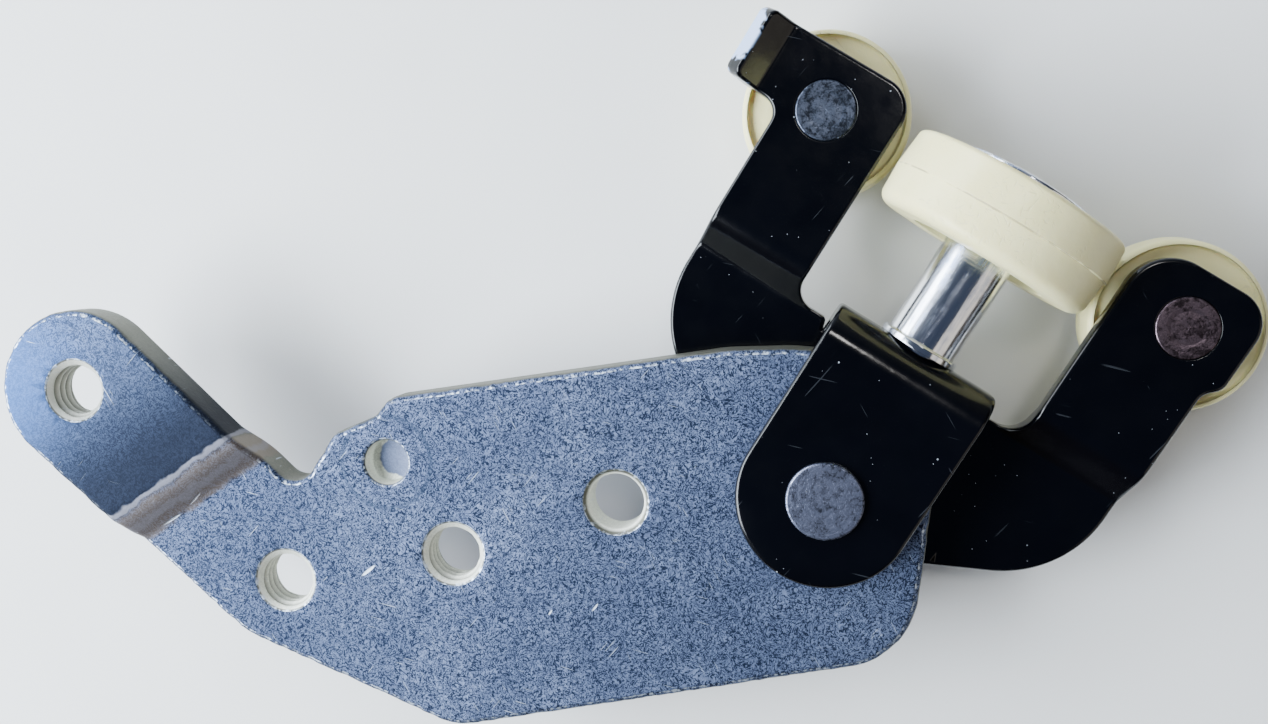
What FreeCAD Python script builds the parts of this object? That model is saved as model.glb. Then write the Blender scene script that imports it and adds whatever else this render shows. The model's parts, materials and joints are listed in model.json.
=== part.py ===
"""Pivoting three-roller carriage on a bent mounting plate.

Frame: the origin is on the axis of the middle threaded fixing hole, where it
leaves the plate's mounting face.  +X runs along the plate towards the carriage
pivot, +Z is the pivot axis and points away from the mounting face.
All sizes are in millimetres.
"""
import FreeCAD
import Part
import math
import os

Vec = FreeCAD.Vector

# ---------------------------------------------------------------- driving sizes
# mounting plate
plate_thick = 5.5
edge_roll = 0.9                      # rolled-over front edge left by blanking
tab_step = 2.5                       # how far the upper-left tab steps forward
tab_centre = (-48.6, 31.4)
tab_radius = 11.2
joggle_angle = 23.0                  # direction of the tab's two bend lines
joggle_start = (-43.9, 8.9)          # a point on the lower bend line
joggle_run = 4.2                     # from the lower bend line to the upper one
joggle_bend = 2.0                    # radius of the hollow side of each bend
pivot_x = 50.7
fixing_holes = ((-24.6, 0.0), (0.0, 0.0))
plain_hole = (23.5, 3.4)
dowel_place = (-6.8, 13.8)
thread_minor_r = 3.4                 # M8 coarse, bored to its minor diameter
chamfer_r = 4.45
plain_hole_r = 3.7
dowel_r = 3.05
dowel_depth = 2.4

# pivot
pin_r = 4.0
pin_head_r = 4.95
pin_head_rise = 0.7
pin_rear_head = (7.5, 2.0)            # radius and thickness behind the bracket
bush_wall = 1.0
flange_r = 8.5
flange_thick = 0.4
side_gap = 0.5                       # from the plate to the bracket, each side

# carriage bracket, in its own (u, v) axes: v runs from the pivot to the rollers
carriage_angle = 47.4                # of v from +X as stored
sheet = 3.0
bend_outer = 4.5
ear_half = 11.4
web_outer = 22.0
arm_inner = 17.4
arm_outer_left = 31.6
arm_outer_right = 32.2
arm_top = 49.2
arm_step = 3.6                       # how far both arms step forward
arm_bend = 1.2                       # radius of the hollow side of each bend
step_start = 18.6
step_end = 22.8
notch_floor = 19.1
shoulder_out = 34.0                  # the right arm is wider above its shoulder
shoulder_v = 36.6
lip_bend = 35.2                      # bent lip on the left arm
lip_low = 39.6
lip_angle = 40.0
lip_length = 4.5

# rollers
guide_u = 26.2
guide_v = 41.8
guide_rivet_r = 3.92
guide_roller_r = 11.3
guide_roller_thick = 8.6
guide_spacer = 1.4
load_axis_z = 2.0
load_roller_r = 15.0
load_roller_low = 35.8
load_roller_thick = 10.3
shaft_r = 4.67
collar_r = 5.3
collar_thick = 0.9
tenon_r = 3.6                        # shaft end riveted in the web
washer_r = 9.0
washer_gap = 0.25                    # from the roller's end face to the washer
washer_thick = 0.75

# bearings: bore radius, outer radius, width, ball radius, pitch radius, balls
load_bearing = (4.0, 10.0, 7.0, 1.75, 7.0, 9)
guide_bearing = (3.0, 7.5, 5.0, 1.15, 5.25, 9)
ball_gap = 0.05

# ------------------------------------------------------------- derived values
ear_back = plate_thick + side_gap
ear_front = ear_back + sheet
rear_front = -side_gap
rear_back = rear_front - sheet
arm_front = rear_front + arm_step
arm_back = arm_front - sheet
bend_inner = bend_outer - sheet
web_inner = web_outer - sheet
guide_middle = arm_back - guide_spacer - guide_roller_thick / 2
load_middle = load_roller_low + load_roller_thick / 2
washer_low = load_middle + load_roller_thick / 2 + washer_gap
washer_top = washer_low + washer_thick
tall = 60.0                          # beyond the part in every direction


# ------------------------------------------------------------ shared helpers
def plan(z):
    """Mapping from an outline's two numbers to a horizontal plane."""
    return lambda a, b: Vec(a, b, z)


def side(x):
    """Mapping from (along Y, height) to a plane across the X axis."""
    return lambda a, b: Vec(x, a, b)


def rounded_face(corners, place):
    """Face through (a, b, radius) corners, each rounded by a tangent arc."""
    points = [place(a, b) for a, b, radius in corners]
    count = len(points)
    ends = []
    arcs = []
    for i in range(count):
        here = points[i]
        radius = corners[i][2]
        if radius <= 0:
            ends.append((here, here))
            arcs.append(None)
            continue
        back = (points[i - 1] - here).normalize()
        ahead = (points[(i + 1) % count] - here).normalize()
        half = back.getAngle(ahead) / 2
        setback = radius / math.tan(half)
        middle = (back + ahead).normalize()
        enter = here + back * setback
        leave = here + ahead * setback
        crown = here + middle * (radius / math.sin(half) - radius)
        ends.append((enter, leave))
        arcs.append(Part.Arc(enter, crown, leave).toShape())
    edges = []
    for i in range(count):
        if arcs[i] is not None:
            edges.append(arcs[i])
        leave = ends[i][1]
        enter = ends[(i + 1) % count][0]
        if leave.distanceToPoint(enter) > 1e-6:
            edges.append(Part.LineSegment(leave, enter).toShape())
    return Part.Face(Part.Wire(edges))


def prism(corners, low, high):
    """Upright solid with a rounded outline between two heights."""
    return rounded_face(corners, plan(low)).extrude(Vec(0, 0, high - low))


def cylinder(radius, low, high, x=0.0, y=0.0):
    """Upright cylinder between two heights."""
    return Part.makeCylinder(radius, high - low, Vec(x, y, low))


def cone(low_r, high_r, low, high, x=0.0, y=0.0):
    """Upright cone frustum between two heights."""
    return Part.makeCone(low_r, high_r, high - low, Vec(x, y, low))


def turned(corners):
    """Solid of revolution about Z from (radius, height, rounding) corners."""
    face = rounded_face(corners, lambda a, b: Vec(a, 0, b))
    return face.revolve(Vec(0, 0, 0), Vec(0, 0, 1), 360)


def on_carriage(shape, u=0.0, v=0.0):
    """Place a shape drawn in (u, v, z) in the part's frame."""
    placed = shape.copy()
    placed.translate(Vec(u, v, 0))
    placed.rotate(Vec(0, 0, 0), Vec(0, 0, 1), carriage_angle - 90)
    placed.translate(Vec(pivot_x, 0, 0))
    return placed


def on_load_axis(shape, v=0.0):
    """Lay a shape drawn about Z along the load roller's axis, from v outward."""
    placed = shape.copy()
    placed.rotate(Vec(0, 0, 0), Vec(1, 0, 0), -90)
    placed.translate(Vec(0, v, load_axis_z))
    return on_carriage(placed)


def on_guide_axis(shape, u):
    """Stand a shape drawn about Z on a guide roller's axis, at its mid height."""
    placed = shape.copy()
    placed.translate(Vec(0, 0, guide_middle))
    return on_carriage(placed, u, guide_v)


def save(name, shape):
    """Write one sub-part and print what it holds."""
    shape.exportStep("parts/" + name + ".step")
    print(name, len(shape.Solids), round(shape.Volume, 1), shape.isValid())


def stepped_sheet(run, rise, thick, radius, reach):
    """Sheet with a Z-bend: its top is at 0 for y < 0 and at rise past y = run."""
    lift = thick * math.tan(math.atan2(rise, run) / 2)
    outline = [
        (-reach, 0.0, 0),
        (0.0, 0.0, radius),
        (run, rise, radius + thick),
        (reach, rise, 0),
        (reach, rise - thick, 0),
        (run + lift, rise - thick, radius),
        (lift, -thick, radius + thick),
        (-reach, -thick, 0),
    ]
    return rounded_face(outline, side(-reach)).extrude(Vec(2 * reach, 0, 0))


# ------------------------------------------------------------- mounting plate
def plate_outline():
    """Plan of the plate, anticlockwise from the notch beside the tab."""
    along = Vec(-0.61, 0.792, 0)
    across = Vec(-0.792, -0.61, 0)
    centre = Vec(tab_centre[0], tab_centre[1], 0)
    end_left = centre + (along + across) * tab_radius
    end_right = centre + (along - across) * tab_radius
    full = tab_radius - 0.25
    return [
        (-20.3, 11.8, 3.1),
        (end_right.x, end_right.y, full),
        (end_left.x, end_left.y, full),
        (-32.3, -6.4, 14.0),
        (-4.6, -23.8, 9.0),
        (57.6, -22.8, 11.0),
        (65.6, 2.0, 12.0),
        (60.5, 16.6, 9.0),
        (50.0, 19.4, 20.0),
        (41.5, 20.7, 20.0),
        (-4.6, 22.4, 2.6),
        (-7.4, 20.2, 2.6),
        (-13.6, 18.9, 4.0),
    ]


def make_mounting_plate():
    """Stepped blank with its threads, plain hole, pivot bore and pressed dowel."""
    blank = prism(plate_outline(), -tall, tall)
    bent = stepped_sheet(joggle_run, tab_step, plate_thick, joggle_bend, 2 * tall)
    bent.rotate(Vec(0, 0, 0), Vec(0, 0, 1), joggle_angle)
    bent.translate(Vec(joggle_start[0], joggle_start[1], plate_thick))
    plate = roll_front_edge(blank.common(bent))
    tools = [cylinder(pin_r + bush_wall + 0.01, -1, plate_thick + 1, pivot_x, 0)]
    for x, y, low in threaded_holes():
        top = low + plate_thick
        tools.append(cylinder(thread_minor_r, low - 1, top + 1, x, y))
        depth = chamfer_r - thread_minor_r
        tools.append(cone(thread_minor_r, chamfer_r, top - depth, top, x, y))
    x, y = plain_hole
    depth = chamfer_r - plain_hole_r
    tools.append(cylinder(plain_hole_r, -1, plate_thick + 1, x, y))
    tools.append(cone(plain_hole_r, chamfer_r, plate_thick - depth, plate_thick, x, y))
    x, y = dowel_place
    tools.append(cylinder(dowel_r, plate_thick - dowel_depth, plate_thick + 1, x, y))
    plate = plate.cut(tools)
    boss = cylinder(dowel_r - 0.1, -dowel_depth, 1.0, x, y)
    return plate.fuse(boss).removeSplitter()


def roll_front_edge(plate):
    """Round the front rim, as blanking leaves it."""
    seen = {}
    for face in plate.Faces:
        low_a, high_a, low_b, high_b = face.ParameterRange
        normal = face.normalAt((low_a + high_a) / 2, (low_b + high_b) / 2)
        if normal.z > 0.5:
            for edge in face.Edges:
                seen.setdefault(edge.hashCode(), []).append(edge)
    rim = [edges[0] for edges in seen.values() if len(edges) == 1]
    return plate.makeFillet(edge_roll, rim)


def threaded_holes():
    """The three M8 holes as (x, y, height of the mounting face there)."""
    places = [(x, y, 0.0) for x, y in fixing_holes]
    places.append((tab_centre[0], tab_centre[1], tab_step))
    return places


# ---------------------------------------------------------------------- pivot
def make_pivot_bush():
    """Flanged bush drawn with its flange on top, at height 0."""
    length = plate_thick / 2 - 0.05
    outer = pin_r + bush_wall
    bore = pin_r + 0.05
    return turned([
        (bore, -length, 0),
        (outer, -length, 0),
        (outer, 0.0, 0),
        (flange_r, 0.0, 0),
        (flange_r, flange_thick, 0),
        (bore, flange_thick, 0),
    ])


def make_pivot_pin():
    """Pin with a broad rear head and a riveted front head."""
    rear_r, rear_thick = pin_rear_head
    head_back = rear_back - rear_thick
    return turned([
        (0.0, head_back, 0),
        (rear_r, head_back, 0.8),
        (rear_r, rear_back, 0),
        (pin_r, rear_back, 0),
        (pin_r, ear_front, 0),
        (pin_head_r, ear_front, 0),
        (pin_head_r, ear_front + pin_head_rise, 0.35),
        (0.0, ear_front + pin_head_rise, 0),
    ])


# ----------------------------------------------------------- carriage bracket
def arms_outline():
    """Plan of the rear plate with both arms, in (u, v)."""
    waist = web_outer - bend_outer
    return [
        (0.0, -10.6, 9.3),
        (arm_outer_right, 6.6, 15.5),
        (arm_outer_right, shoulder_v - 0.9, 2.2),
        (shoulder_out, shoulder_v + 0.9, 2.2),
        (shoulder_out, arm_top - 0.2, 4.5),
        (arm_inner - 0.4, arm_top - 0.2, 6.0),
        (arm_inner - 0.4, notch_floor, 2.8),
        (ear_half, notch_floor, 0),
        (ear_half, waist, 0),
        (-ear_half, waist, 0),
        (-ear_half, notch_floor, 0),
        (-arm_inner, notch_floor, 2.8),
        (-arm_inner, arm_top, 4.2),
        (-lip_bend, arm_top, 0),
        (-lip_bend, lip_low, 0),
        (-arm_outer_left, lip_low - 0.4, 2.4),
        (-arm_outer_left, 6.6, 15.5),
    ]


def make_arms():
    """Rear plate and both arms, with the step that brings the arms forward."""
    outline = prism(arms_outline(), -tall, tall)
    stepped = stepped_sheet(step_end - step_start, arm_step, sheet, arm_bend, 2 * tall)
    stepped.translate(Vec(0, step_start, rear_front))
    return outline.common(stepped)


def make_clevis():
    """Tongue folded forward and back over the pivot: web and front ear."""
    low_v = web_outer - bend_outer - 4.0
    folded = rounded_face([
        (low_v, rear_back, 0),
        (web_outer, rear_back, bend_outer),
        (web_outer, ear_front, bend_outer),
        (-ear_half - 2, ear_front, 0),
        (-ear_half - 2, ear_back, 0),
        (web_inner, ear_back, bend_inner),
        (web_inner, rear_front, bend_inner),
        (low_v, rear_front, 0),
    ], side(-ear_half)).extrude(Vec(2 * ear_half, 0, 0))
    round_end = ear_half - 0.01
    outline = prism([
        (-ear_half, -ear_half, round_end),
        (ear_half, -ear_half, round_end),
        (ear_half, web_outer + 5, 0),
        (-ear_half, web_outer + 5, 0),
    ], -tall, tall)
    return folded.common(outline)


def make_lip():
    """Short lip on the left arm's outer edge, bent towards the front."""
    angle = math.radians(lip_angle)
    lift = sheet * math.tan(angle / 2)
    tip_u = -lip_bend - lip_length * math.cos(angle)
    tip_z = arm_front + lip_length * math.sin(angle)
    corners = [
        (-lip_bend + 3, arm_back, 0),
        (-lip_bend + 3, arm_front, 0),
        (-lip_bend, arm_front, 0.6),
        (tip_u, tip_z, 0.3),
        (tip_u - sheet * math.sin(angle), tip_z - sheet * math.cos(angle), 0.3),
        (-lip_bend - lift, arm_back, 3.4),
    ]
    face = rounded_face(corners, lambda a, b: Vec(a, lip_low, b))
    body = face.extrude(Vec(0, arm_top - lip_low, 0))
    reach = tip_u - sheet
    outline = prism([
        (-lip_bend + 4, lip_low, 0),
        (-lip_bend + 4, arm_top, 0),
        (reach, arm_top, 1.2),
        (reach, lip_low, 1.2),
    ], -tall, tall)
    return body.common(outline)


def make_carriage_bracket():
    """One folded sheet: rear plate, arms, web, front ear and lip."""
    bracket = make_arms().fuse([make_clevis(), make_lip()])
    tools = [
        cylinder(pin_r + 0.01, -tall, tall),
        cylinder(guide_rivet_r + 0.01, arm_back - 1, arm_front + 1, -guide_u, guide_v),
        cylinder(guide_rivet_r + 0.01, arm_back - 1, arm_front + 1, guide_u, guide_v),
    ]
    web_hole = cylinder(tenon_r + 0.01, web_inner - 1, web_outer + 1)
    web_hole.rotate(Vec(0, 0, 0), Vec(1, 0, 0), -90)
    web_hole.translate(Vec(0, 0, load_axis_z))
    tools.append(web_hole)
    return on_carriage(bracket.cut(tools).removeSplitter())


# ------------------------------------------------------------------- bearings
def lands(spec):
    """Inner and outer land radii of a bearing."""
    ball_r = spec[3]
    pitch_r = spec[4]
    return pitch_r - 0.5 * ball_r, pitch_r + 0.5 * ball_r


def race_cutter(spec):
    """Torus that leaves the groove the balls run in."""
    return Part.makeTorus(spec[4], spec[3] + ball_gap)


def make_inner_ring(spec):
    """Inner ring about Z, centred on height 0."""
    half = spec[2] / 2
    inner_land = lands(spec)[0]
    ring = turned([(spec[0] + 0.01, -half, 0), (inner_land, -half, 0),
                   (inner_land, half, 0), (spec[0] + 0.01, half, 0)])
    return ring.cut(race_cutter(spec))


def make_outer_ring(spec):
    """Outer ring about Z, centred on height 0."""
    half = spec[2] / 2
    outer_land = lands(spec)[1]
    ring = turned([(outer_land, -half, 0), (spec[1], -half, 0.3),
                   (spec[1], half, 0.3), (outer_land, half, 0)])
    return ring.cut(race_cutter(spec))


def ball_places(spec):
    """Centres of the evenly spaced balls."""
    count = spec[5]
    turns = [2 * math.pi * i / count for i in range(count)]
    return [Vec(spec[4] * math.cos(t), spec[4] * math.sin(t), 0) for t in turns]


def make_balls(spec):
    """All the balls of one bearing."""
    return Part.makeCompound([Part.makeSphere(spec[3], place) for place in ball_places(spec)])


def make_cage(spec):
    """Ring with one radial pocket for each ball."""
    inner_land, outer_land = lands(spec)
    half = spec[3] * 1.2
    slack = 0.15
    ring = turned([(inner_land + slack, -half, 0), (outer_land - slack, -half, 0),
                   (outer_land - slack, half, 0), (inner_land + slack, half, 0)])
    pockets = []
    for place in ball_places(spec):
        outward = Vec(place).normalize()
        start = outward * (inner_land - 0.5)
        pockets.append(Part.makeCylinder(spec[3] + ball_gap, spec[3] + 2, start, outward))
    return ring.cut(pockets)


def make_shields(spec):
    """Two thin shields held by the outer ring, clear of the inner one."""
    inner_land, outer_land = lands(spec)
    far = spec[2] / 2 - 0.1
    near = far - 0.25
    rings = []
    for low, high in ((near, far), (-far, -near)):
        rings.append(turned([(inner_land + 0.2, low, 0), (outer_land - 0.01, low, 0),
                             (outer_land - 0.01, high, 0), (inner_land + 0.2, high, 0)]))
    return Part.makeCompound(rings)


# ----------------------------------------------------------- load roller group
def make_load_tyre():
    """Crowned tyre about Z, centred on height 0, with lips over the bearing."""
    half = load_roller_thick / 2
    seat = load_bearing[2] / 2 + 0.01
    bore = load_bearing[1] + 0.01
    shoulder_r = load_roller_r - 0.5
    return turned([
        (bore - 0.8, -half, 0),
        (shoulder_r, -half, 1.8),
        (load_roller_r, 0.0, 0),
        (shoulder_r, half, 0.8),
        (bore - 0.8, half, 0),
        (bore - 0.8, seat, 0),
        (bore, seat, 0),
        (bore, -seat, 0),
        (bore - 0.8, -seat, 0),
    ])


def make_load_shaft():
    """Shaft from the web to the bearing: collar, shoulder and two tenons."""
    seat = load_middle - load_bearing[2] / 2
    end = washer_top
    return turned([
        (0.0, web_inner, 0),
        (tenon_r, web_inner, 0),
        (tenon_r, web_outer, 0),
        (collar_r, web_outer, 0),
        (collar_r, web_outer + collar_thick, 0.3),
        (shaft_r, web_outer + collar_thick, 0),
        (shaft_r, seat, 0),
        (load_bearing[0], seat, 0),
        (load_bearing[0], end, 0),
        (5.2, end, 0),
        (4.8, end + 0.55, 0.3),
        (0.0, end + 0.55, 0),
    ])


def make_load_washer():
    """Stepped washer that holds the inner ring and covers the roller's bore."""
    low = load_middle + load_bearing[2] / 2
    neck_r = 5.6
    return turned([
        (load_bearing[0] + 0.01, low, 0),
        (neck_r, low, 0),
        (neck_r, washer_low, 0),
        (washer_r, washer_low, 0),
        (washer_r, washer_top, 0.3),
        (load_bearing[0] + 0.01, washer_top, 0),
    ])


# --------------------------------------------------------- guide roller groups
def make_guide_tyre():
    """Guide roller tyre about Z, centred on height 0, with raised rims."""
    half = guide_roller_thick / 2
    seat = guide_bearing[2] / 2 + 0.01
    bore = guide_bearing[1] + 0.01
    rim = 10.2
    floor = half - 0.8
    return turned([
        (bore - 0.6, -floor, 0),
        (rim, -floor, 0.3),
        (rim + 0.1, -half, 0),
        (guide_roller_r - 0.3, -half, 0.9),
        (guide_roller_r, 0.0, 0),
        (guide_roller_r - 0.3, half, 0.9),
        (rim + 0.1, half, 0),
        (rim, floor, 0.3),
        (bore - 0.6, floor, 0),
        (bore - 0.6, seat, 0),
        (bore, seat, 0),
        (bore, -seat, 0),
        (bore - 0.6, -seat, 0),
    ])


def make_guide_spacer():
    """Sleeve between the arm and the bearing's inner ring."""
    low = guide_bearing[2] / 2
    high = arm_back - guide_middle
    bore = guide_bearing[0] + 0.01
    return turned([(bore, low, 0), (4.5, low, 0), (4.5, high, 0), (bore, high, 0)])


def make_guide_pin():
    """Stepped rivet: broad through the arm, narrow through the bearing."""
    arm_low = arm_back - guide_middle
    arm_high = arm_front - guide_middle
    seat = -guide_bearing[2] / 2
    return turned([
        (0.0, seat - 1.5, 0),
        (4.4, seat - 1.5, 0.5),
        (4.4, seat, 0),
        (guide_bearing[0], seat, 0),
        (guide_bearing[0], arm_low, 0),
        (guide_rivet_r, arm_low, 0),
        (guide_rivet_r, arm_high + 0.1, 0),
        (0.0, arm_high + 0.1, 0),
    ])


# ----------------------------------------------------------------------- build
def build_bearing(prefix, spec, place):
    """Write the five sub-parts of one ball bearing."""
    save(prefix + "_inner_ring", place(make_inner_ring(spec)))
    save(prefix + "_outer_ring", place(make_outer_ring(spec)))
    save(prefix + "_balls", place(make_balls(spec)))
    save(prefix + "_cage", place(make_cage(spec)))
    save(prefix + "_shields", place(make_shields(spec)))


def build_pivot():
    """Write the plate, the two bushes and the pin that joins the carriage to it."""
    save("mounting_plate", make_mounting_plate())
    front = make_pivot_bush()
    rear = front.mirror(Vec(0, 0, 0), Vec(0, 0, 1))
    front.translate(Vec(pivot_x, 0, plate_thick))
    rear.translate(Vec(pivot_x, 0, 0))
    save("front_pivot_bush", front)
    save("rear_pivot_bush", rear)
    save("pivot_pin", on_carriage(make_pivot_pin()))
    save("carriage_bracket", make_carriage_bracket())


def build_load_roller():
    """Write the load roller, its shaft and its bearing."""
    save("load_roller_shaft", on_load_axis(make_load_shaft()))
    save("load_roller_washer", on_load_axis(make_load_washer()))
    save("load_roller_tyre", on_load_axis(make_load_tyre(), load_middle))
    build_bearing("load_bearing", load_bearing,
                  lambda shape: on_load_axis(shape, load_middle))


def build_guide_roller(name, u):
    """Write one guide roller, its rivet, spacer and bearing."""
    save(name + "_guide_pin", on_guide_axis(make_guide_pin(), u))
    save(name + "_guide_spacer", on_guide_axis(make_guide_spacer(), u))
    save(name + "_guide_tyre", on_guide_axis(make_guide_tyre(), u))
    build_bearing(name + "_guide_bearing", guide_bearing,
                  lambda shape: on_guide_axis(shape, u))


os.makedirs("parts", exist_ok=True)
build_pivot()
build_load_roller()
build_guide_roller("left", -guide_u)
build_guide_roller("right", guide_u)
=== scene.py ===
"""Looks of a pivoting three-roller carriage on its bent zinc-plated plate.

Every piece is drawn in millimetres and placed in the part's own frame, in metres.
The plate and the folded bracket are drawn as flat blanks with rounded rims, then
bent; the rollers, pins and shaft are turned from half sections.
"""

import json
import math

import bmesh
import bpy
import numpy as np
from mathutils import Matrix, Vector
from mathutils.geometry import delaunay_2d_cdt


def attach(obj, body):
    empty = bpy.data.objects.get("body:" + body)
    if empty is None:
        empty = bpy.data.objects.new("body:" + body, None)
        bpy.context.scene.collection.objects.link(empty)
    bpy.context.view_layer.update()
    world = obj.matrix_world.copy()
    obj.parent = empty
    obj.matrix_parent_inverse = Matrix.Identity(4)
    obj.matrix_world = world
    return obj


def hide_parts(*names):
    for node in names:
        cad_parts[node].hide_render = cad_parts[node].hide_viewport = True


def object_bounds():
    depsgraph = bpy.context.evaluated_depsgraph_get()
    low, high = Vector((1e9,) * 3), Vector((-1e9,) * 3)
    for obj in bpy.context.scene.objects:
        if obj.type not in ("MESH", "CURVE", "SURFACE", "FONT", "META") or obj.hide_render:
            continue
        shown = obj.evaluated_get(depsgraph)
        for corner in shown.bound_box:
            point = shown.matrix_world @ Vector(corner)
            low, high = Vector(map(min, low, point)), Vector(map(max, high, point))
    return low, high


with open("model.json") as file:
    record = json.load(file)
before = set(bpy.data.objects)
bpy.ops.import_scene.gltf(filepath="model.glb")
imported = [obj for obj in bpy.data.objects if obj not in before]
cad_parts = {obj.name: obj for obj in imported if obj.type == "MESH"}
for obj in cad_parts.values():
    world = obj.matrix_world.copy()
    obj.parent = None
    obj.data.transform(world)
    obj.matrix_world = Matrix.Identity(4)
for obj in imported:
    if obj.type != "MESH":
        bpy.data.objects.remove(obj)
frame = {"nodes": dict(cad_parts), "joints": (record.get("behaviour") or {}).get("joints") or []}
loaded_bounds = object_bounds()

MM = 0.001
JOINTS = {joint["name"]: joint for joint in frame["joints"]}

# ------------------------------------------------------------------ plate sizes, mm
PLATE_THICK = 5.5
PLATE_ROLL = 0.9
BACK_BREAK = 0.25
TAB_STEP = 2.5
TAB_CENTRE = (-48.6, 31.4)
TAB_RADIUS = 11.2
JOGGLE_ANGLE = 23.0
JOGGLE_START = (-43.9, 8.9)
JOGGLE_RUN = 4.2
JOGGLE_BEND = 2.0
THREADED_HOLES = ((-24.6, 0.0), (0.0, 0.0), TAB_CENTRE)
THREAD_MINOR = 3.4
THREAD_DEEP = 0.6
THREAD_PITCH = 1.25
CHAMFER = 1.05
PLAIN_HOLE = (23.5, 3.4)
PLAIN_HOLE_R = 3.7
PLAIN_CHAMFER = 0.75
DOWEL = (-6.8, 13.8)
DOWEL_R = 3.05
DOWEL_DEPTH = 2.4
DOWEL_BOSS_R = 2.95
DIMPLE_MOUTH = 0.45
CLAMP_RING_R = 6.3
BUSH_BORE_R = 5.01
# Painted highlight lines along the joggle's bends: place up the slope, half width, strength
JOGGLE_HIGHLIGHT_LINES = ((4.9, 0.5, 0.7), (1.9, 0.8, 0.4))
# Dents and scrapes of the face: x, y, angle, length, width
DENTS = ((-12.4, -0.5, 28, 2.6, 0.5), (18.0, -10.1, 42, 1.4, 0.3), (11.8, -9.9, 45, 0.9, 0.25),
         (-39.5, 11.0, 21, 3.4, 0.35), (-35.2, 13.4, 35, 2.7, 0.3))

# ---------------------------------------------------------------- bracket sizes, mm
SHEET = 3.0
BEND_INNER = 1.5
EAR_HALF = 11.4
EAR_BACK = 6.0
EAR_FRONT = EAR_BACK + SHEET
REAR_FRONT = -0.5
REAR_BACK = REAR_FRONT - SHEET
WEB_INNER = 19.0
WEB_OUTER = WEB_INNER + SHEET
ARM_STEP = 3.6
ARM_FRONT = REAR_FRONT + ARM_STEP
ARM_BACK = ARM_FRONT - SHEET
ARM_BEND = 1.2
STEP_START = 18.6
STEP_RUN = 4.2
NOTCH_FLOOR = 19.1
ARM_INNER = 17.0
ARM_OUTER_LEFT = 31.6
ARM_OUTER_RIGHT = 32.2
ARM_TOP = 49.2
SHOULDER = 34.0
SHOULDER_V = 36.6
LIP_BEND = 35.2
LIP_LOW = 39.6
LIP_ANGLE = 40.0
LIP_LENGTH = 4.5
LIP_INNER = 0.6
PAINT_ROUND = 0.5
EAR_ROLL_START = 8.4
EAR_ROLL_DROP = 0.3

# ------------------------------------------------------------------ roller sizes, mm
PIN_R = 4.0
PIN_HEAD_R = 4.95
PIN_HEAD_RISE = 0.7
PIN_FOOT_R = 7.5
PIN_FOOT_THICK = 2.0
PIN_RING_R = 4.5
GUIDE_RIVET_R = 3.92
GUIDE_FOOT_R = 4.4
GUIDE_FOOT_THICK = 1.5
GUIDE_V = 41.8
GUIDE_U = 26.2
GUIDE_R = 11.3
GUIDE_THICK = 8.6
GUIDE_RIM_R = 10.2
GUIDE_RECESS = 0.8
GUIDE_BEARING = {"bore": 3.0, "outer": 7.5, "width": 5.0, "ball": 1.15, "pitch": 5.25}
LOAD_R = 15.0
LOAD_THICK = 10.3
LOAD_MIDDLE = 40.95
LOAD_BEARING = {"bore": 4.0, "outer": 10.0, "width": 7.0, "ball": 1.75, "pitch": 7.0}
BALL_COUNT = 9
SHAFT_R = 4.67
COLLAR_R = 5.3
COLLAR_THICK = 0.9
TENON_R = 3.6
SHAFT_HEAD_R = 5.2
SHAFT_HEAD_RISE = 0.55
WASHER_R = 9.0
WASHER_NECK_R = 5.6
WASHER_THICK = 0.75
WASHER_GAP = 0.25
PARTING_STEP = 0.16

# ----------------------------------------------------------------- the part's own axes
DOWEL_FACE = (DOWEL[0] * MM, DOWEL[1] * MM, PLATE_THICK * MM)
DOWEL_FLOOR = (DOWEL[0] * MM, DOWEL[1] * MM, (PLATE_THICK - DOWEL_DEPTH) * MM)
# Middle of the clean part of the dimple's floor; past it the metal is torn
DOWEL_TORN = (DOWEL_FLOOR[0] + 1.2 * MM, DOWEL_FLOOR[1] + 0.3 * MM, DOWEL_FLOOR[2])
# Middles of the painted blue sheen at the tab's end and of the painted shade patch beside the left
# thread
TAB_SHEEN_CENTRE = (-0.062, 0.034, 0.008)
SHADE_PATCH_CENTRE = (-0.034, -0.004, 0.0055)
# Keeps the bright hairlines off the dark ones
HAIRLINE_SHIFT = (0.031, 0.017, 0.0)
PIVOT = Vector(JOINTS["carriage_pivot"]["pos_m"])
LOAD_AXIS = Vector(JOINTS["load_roller_spin"]["axis"]).normalized()
LOAD_CENTRE = Vector(JOINTS["load_roller_spin"]["pos_m"])
UP = Vector((0, 0, 1))
ACROSS = LOAD_AXIS.cross(UP)


def carriage_matrix(u=0.0, v=0.0, z=0.0):
    """From (across, along, up) on the carriage, in mm, to the part's frame."""
    turn = Matrix((ACROSS, LOAD_AXIS, UP)).transposed().to_4x4()
    place = Matrix.Translation((PIVOT.x, PIVOT.y, 0)) @ turn
    return place @ Matrix.Translation((u * MM, v * MM, z * MM)) @ Matrix.Scale(MM, 4)


def load_matrix(v=0.0):
    """From a half section turned about Z to the load roller's axis, v mm out."""
    lay_down = Matrix.Rotation(-math.pi / 2, 4, "X")
    return carriage_matrix(0, v, LOAD_CENTRE.z / MM) @ lay_down


def guide_matrix(side):
    """From a half section turned about Z to a guide roller's middle."""
    centre = JOINTS[side + "_roller_spin"]["pos_m"]
    return Matrix.Translation(centre) @ Matrix.Scale(MM, 4)


# ------------------------------------------------------------------------- outlines
# Flat strip kept between a rounded rim and the face's triangles
FLAT_MARGIN = 0.15


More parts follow.
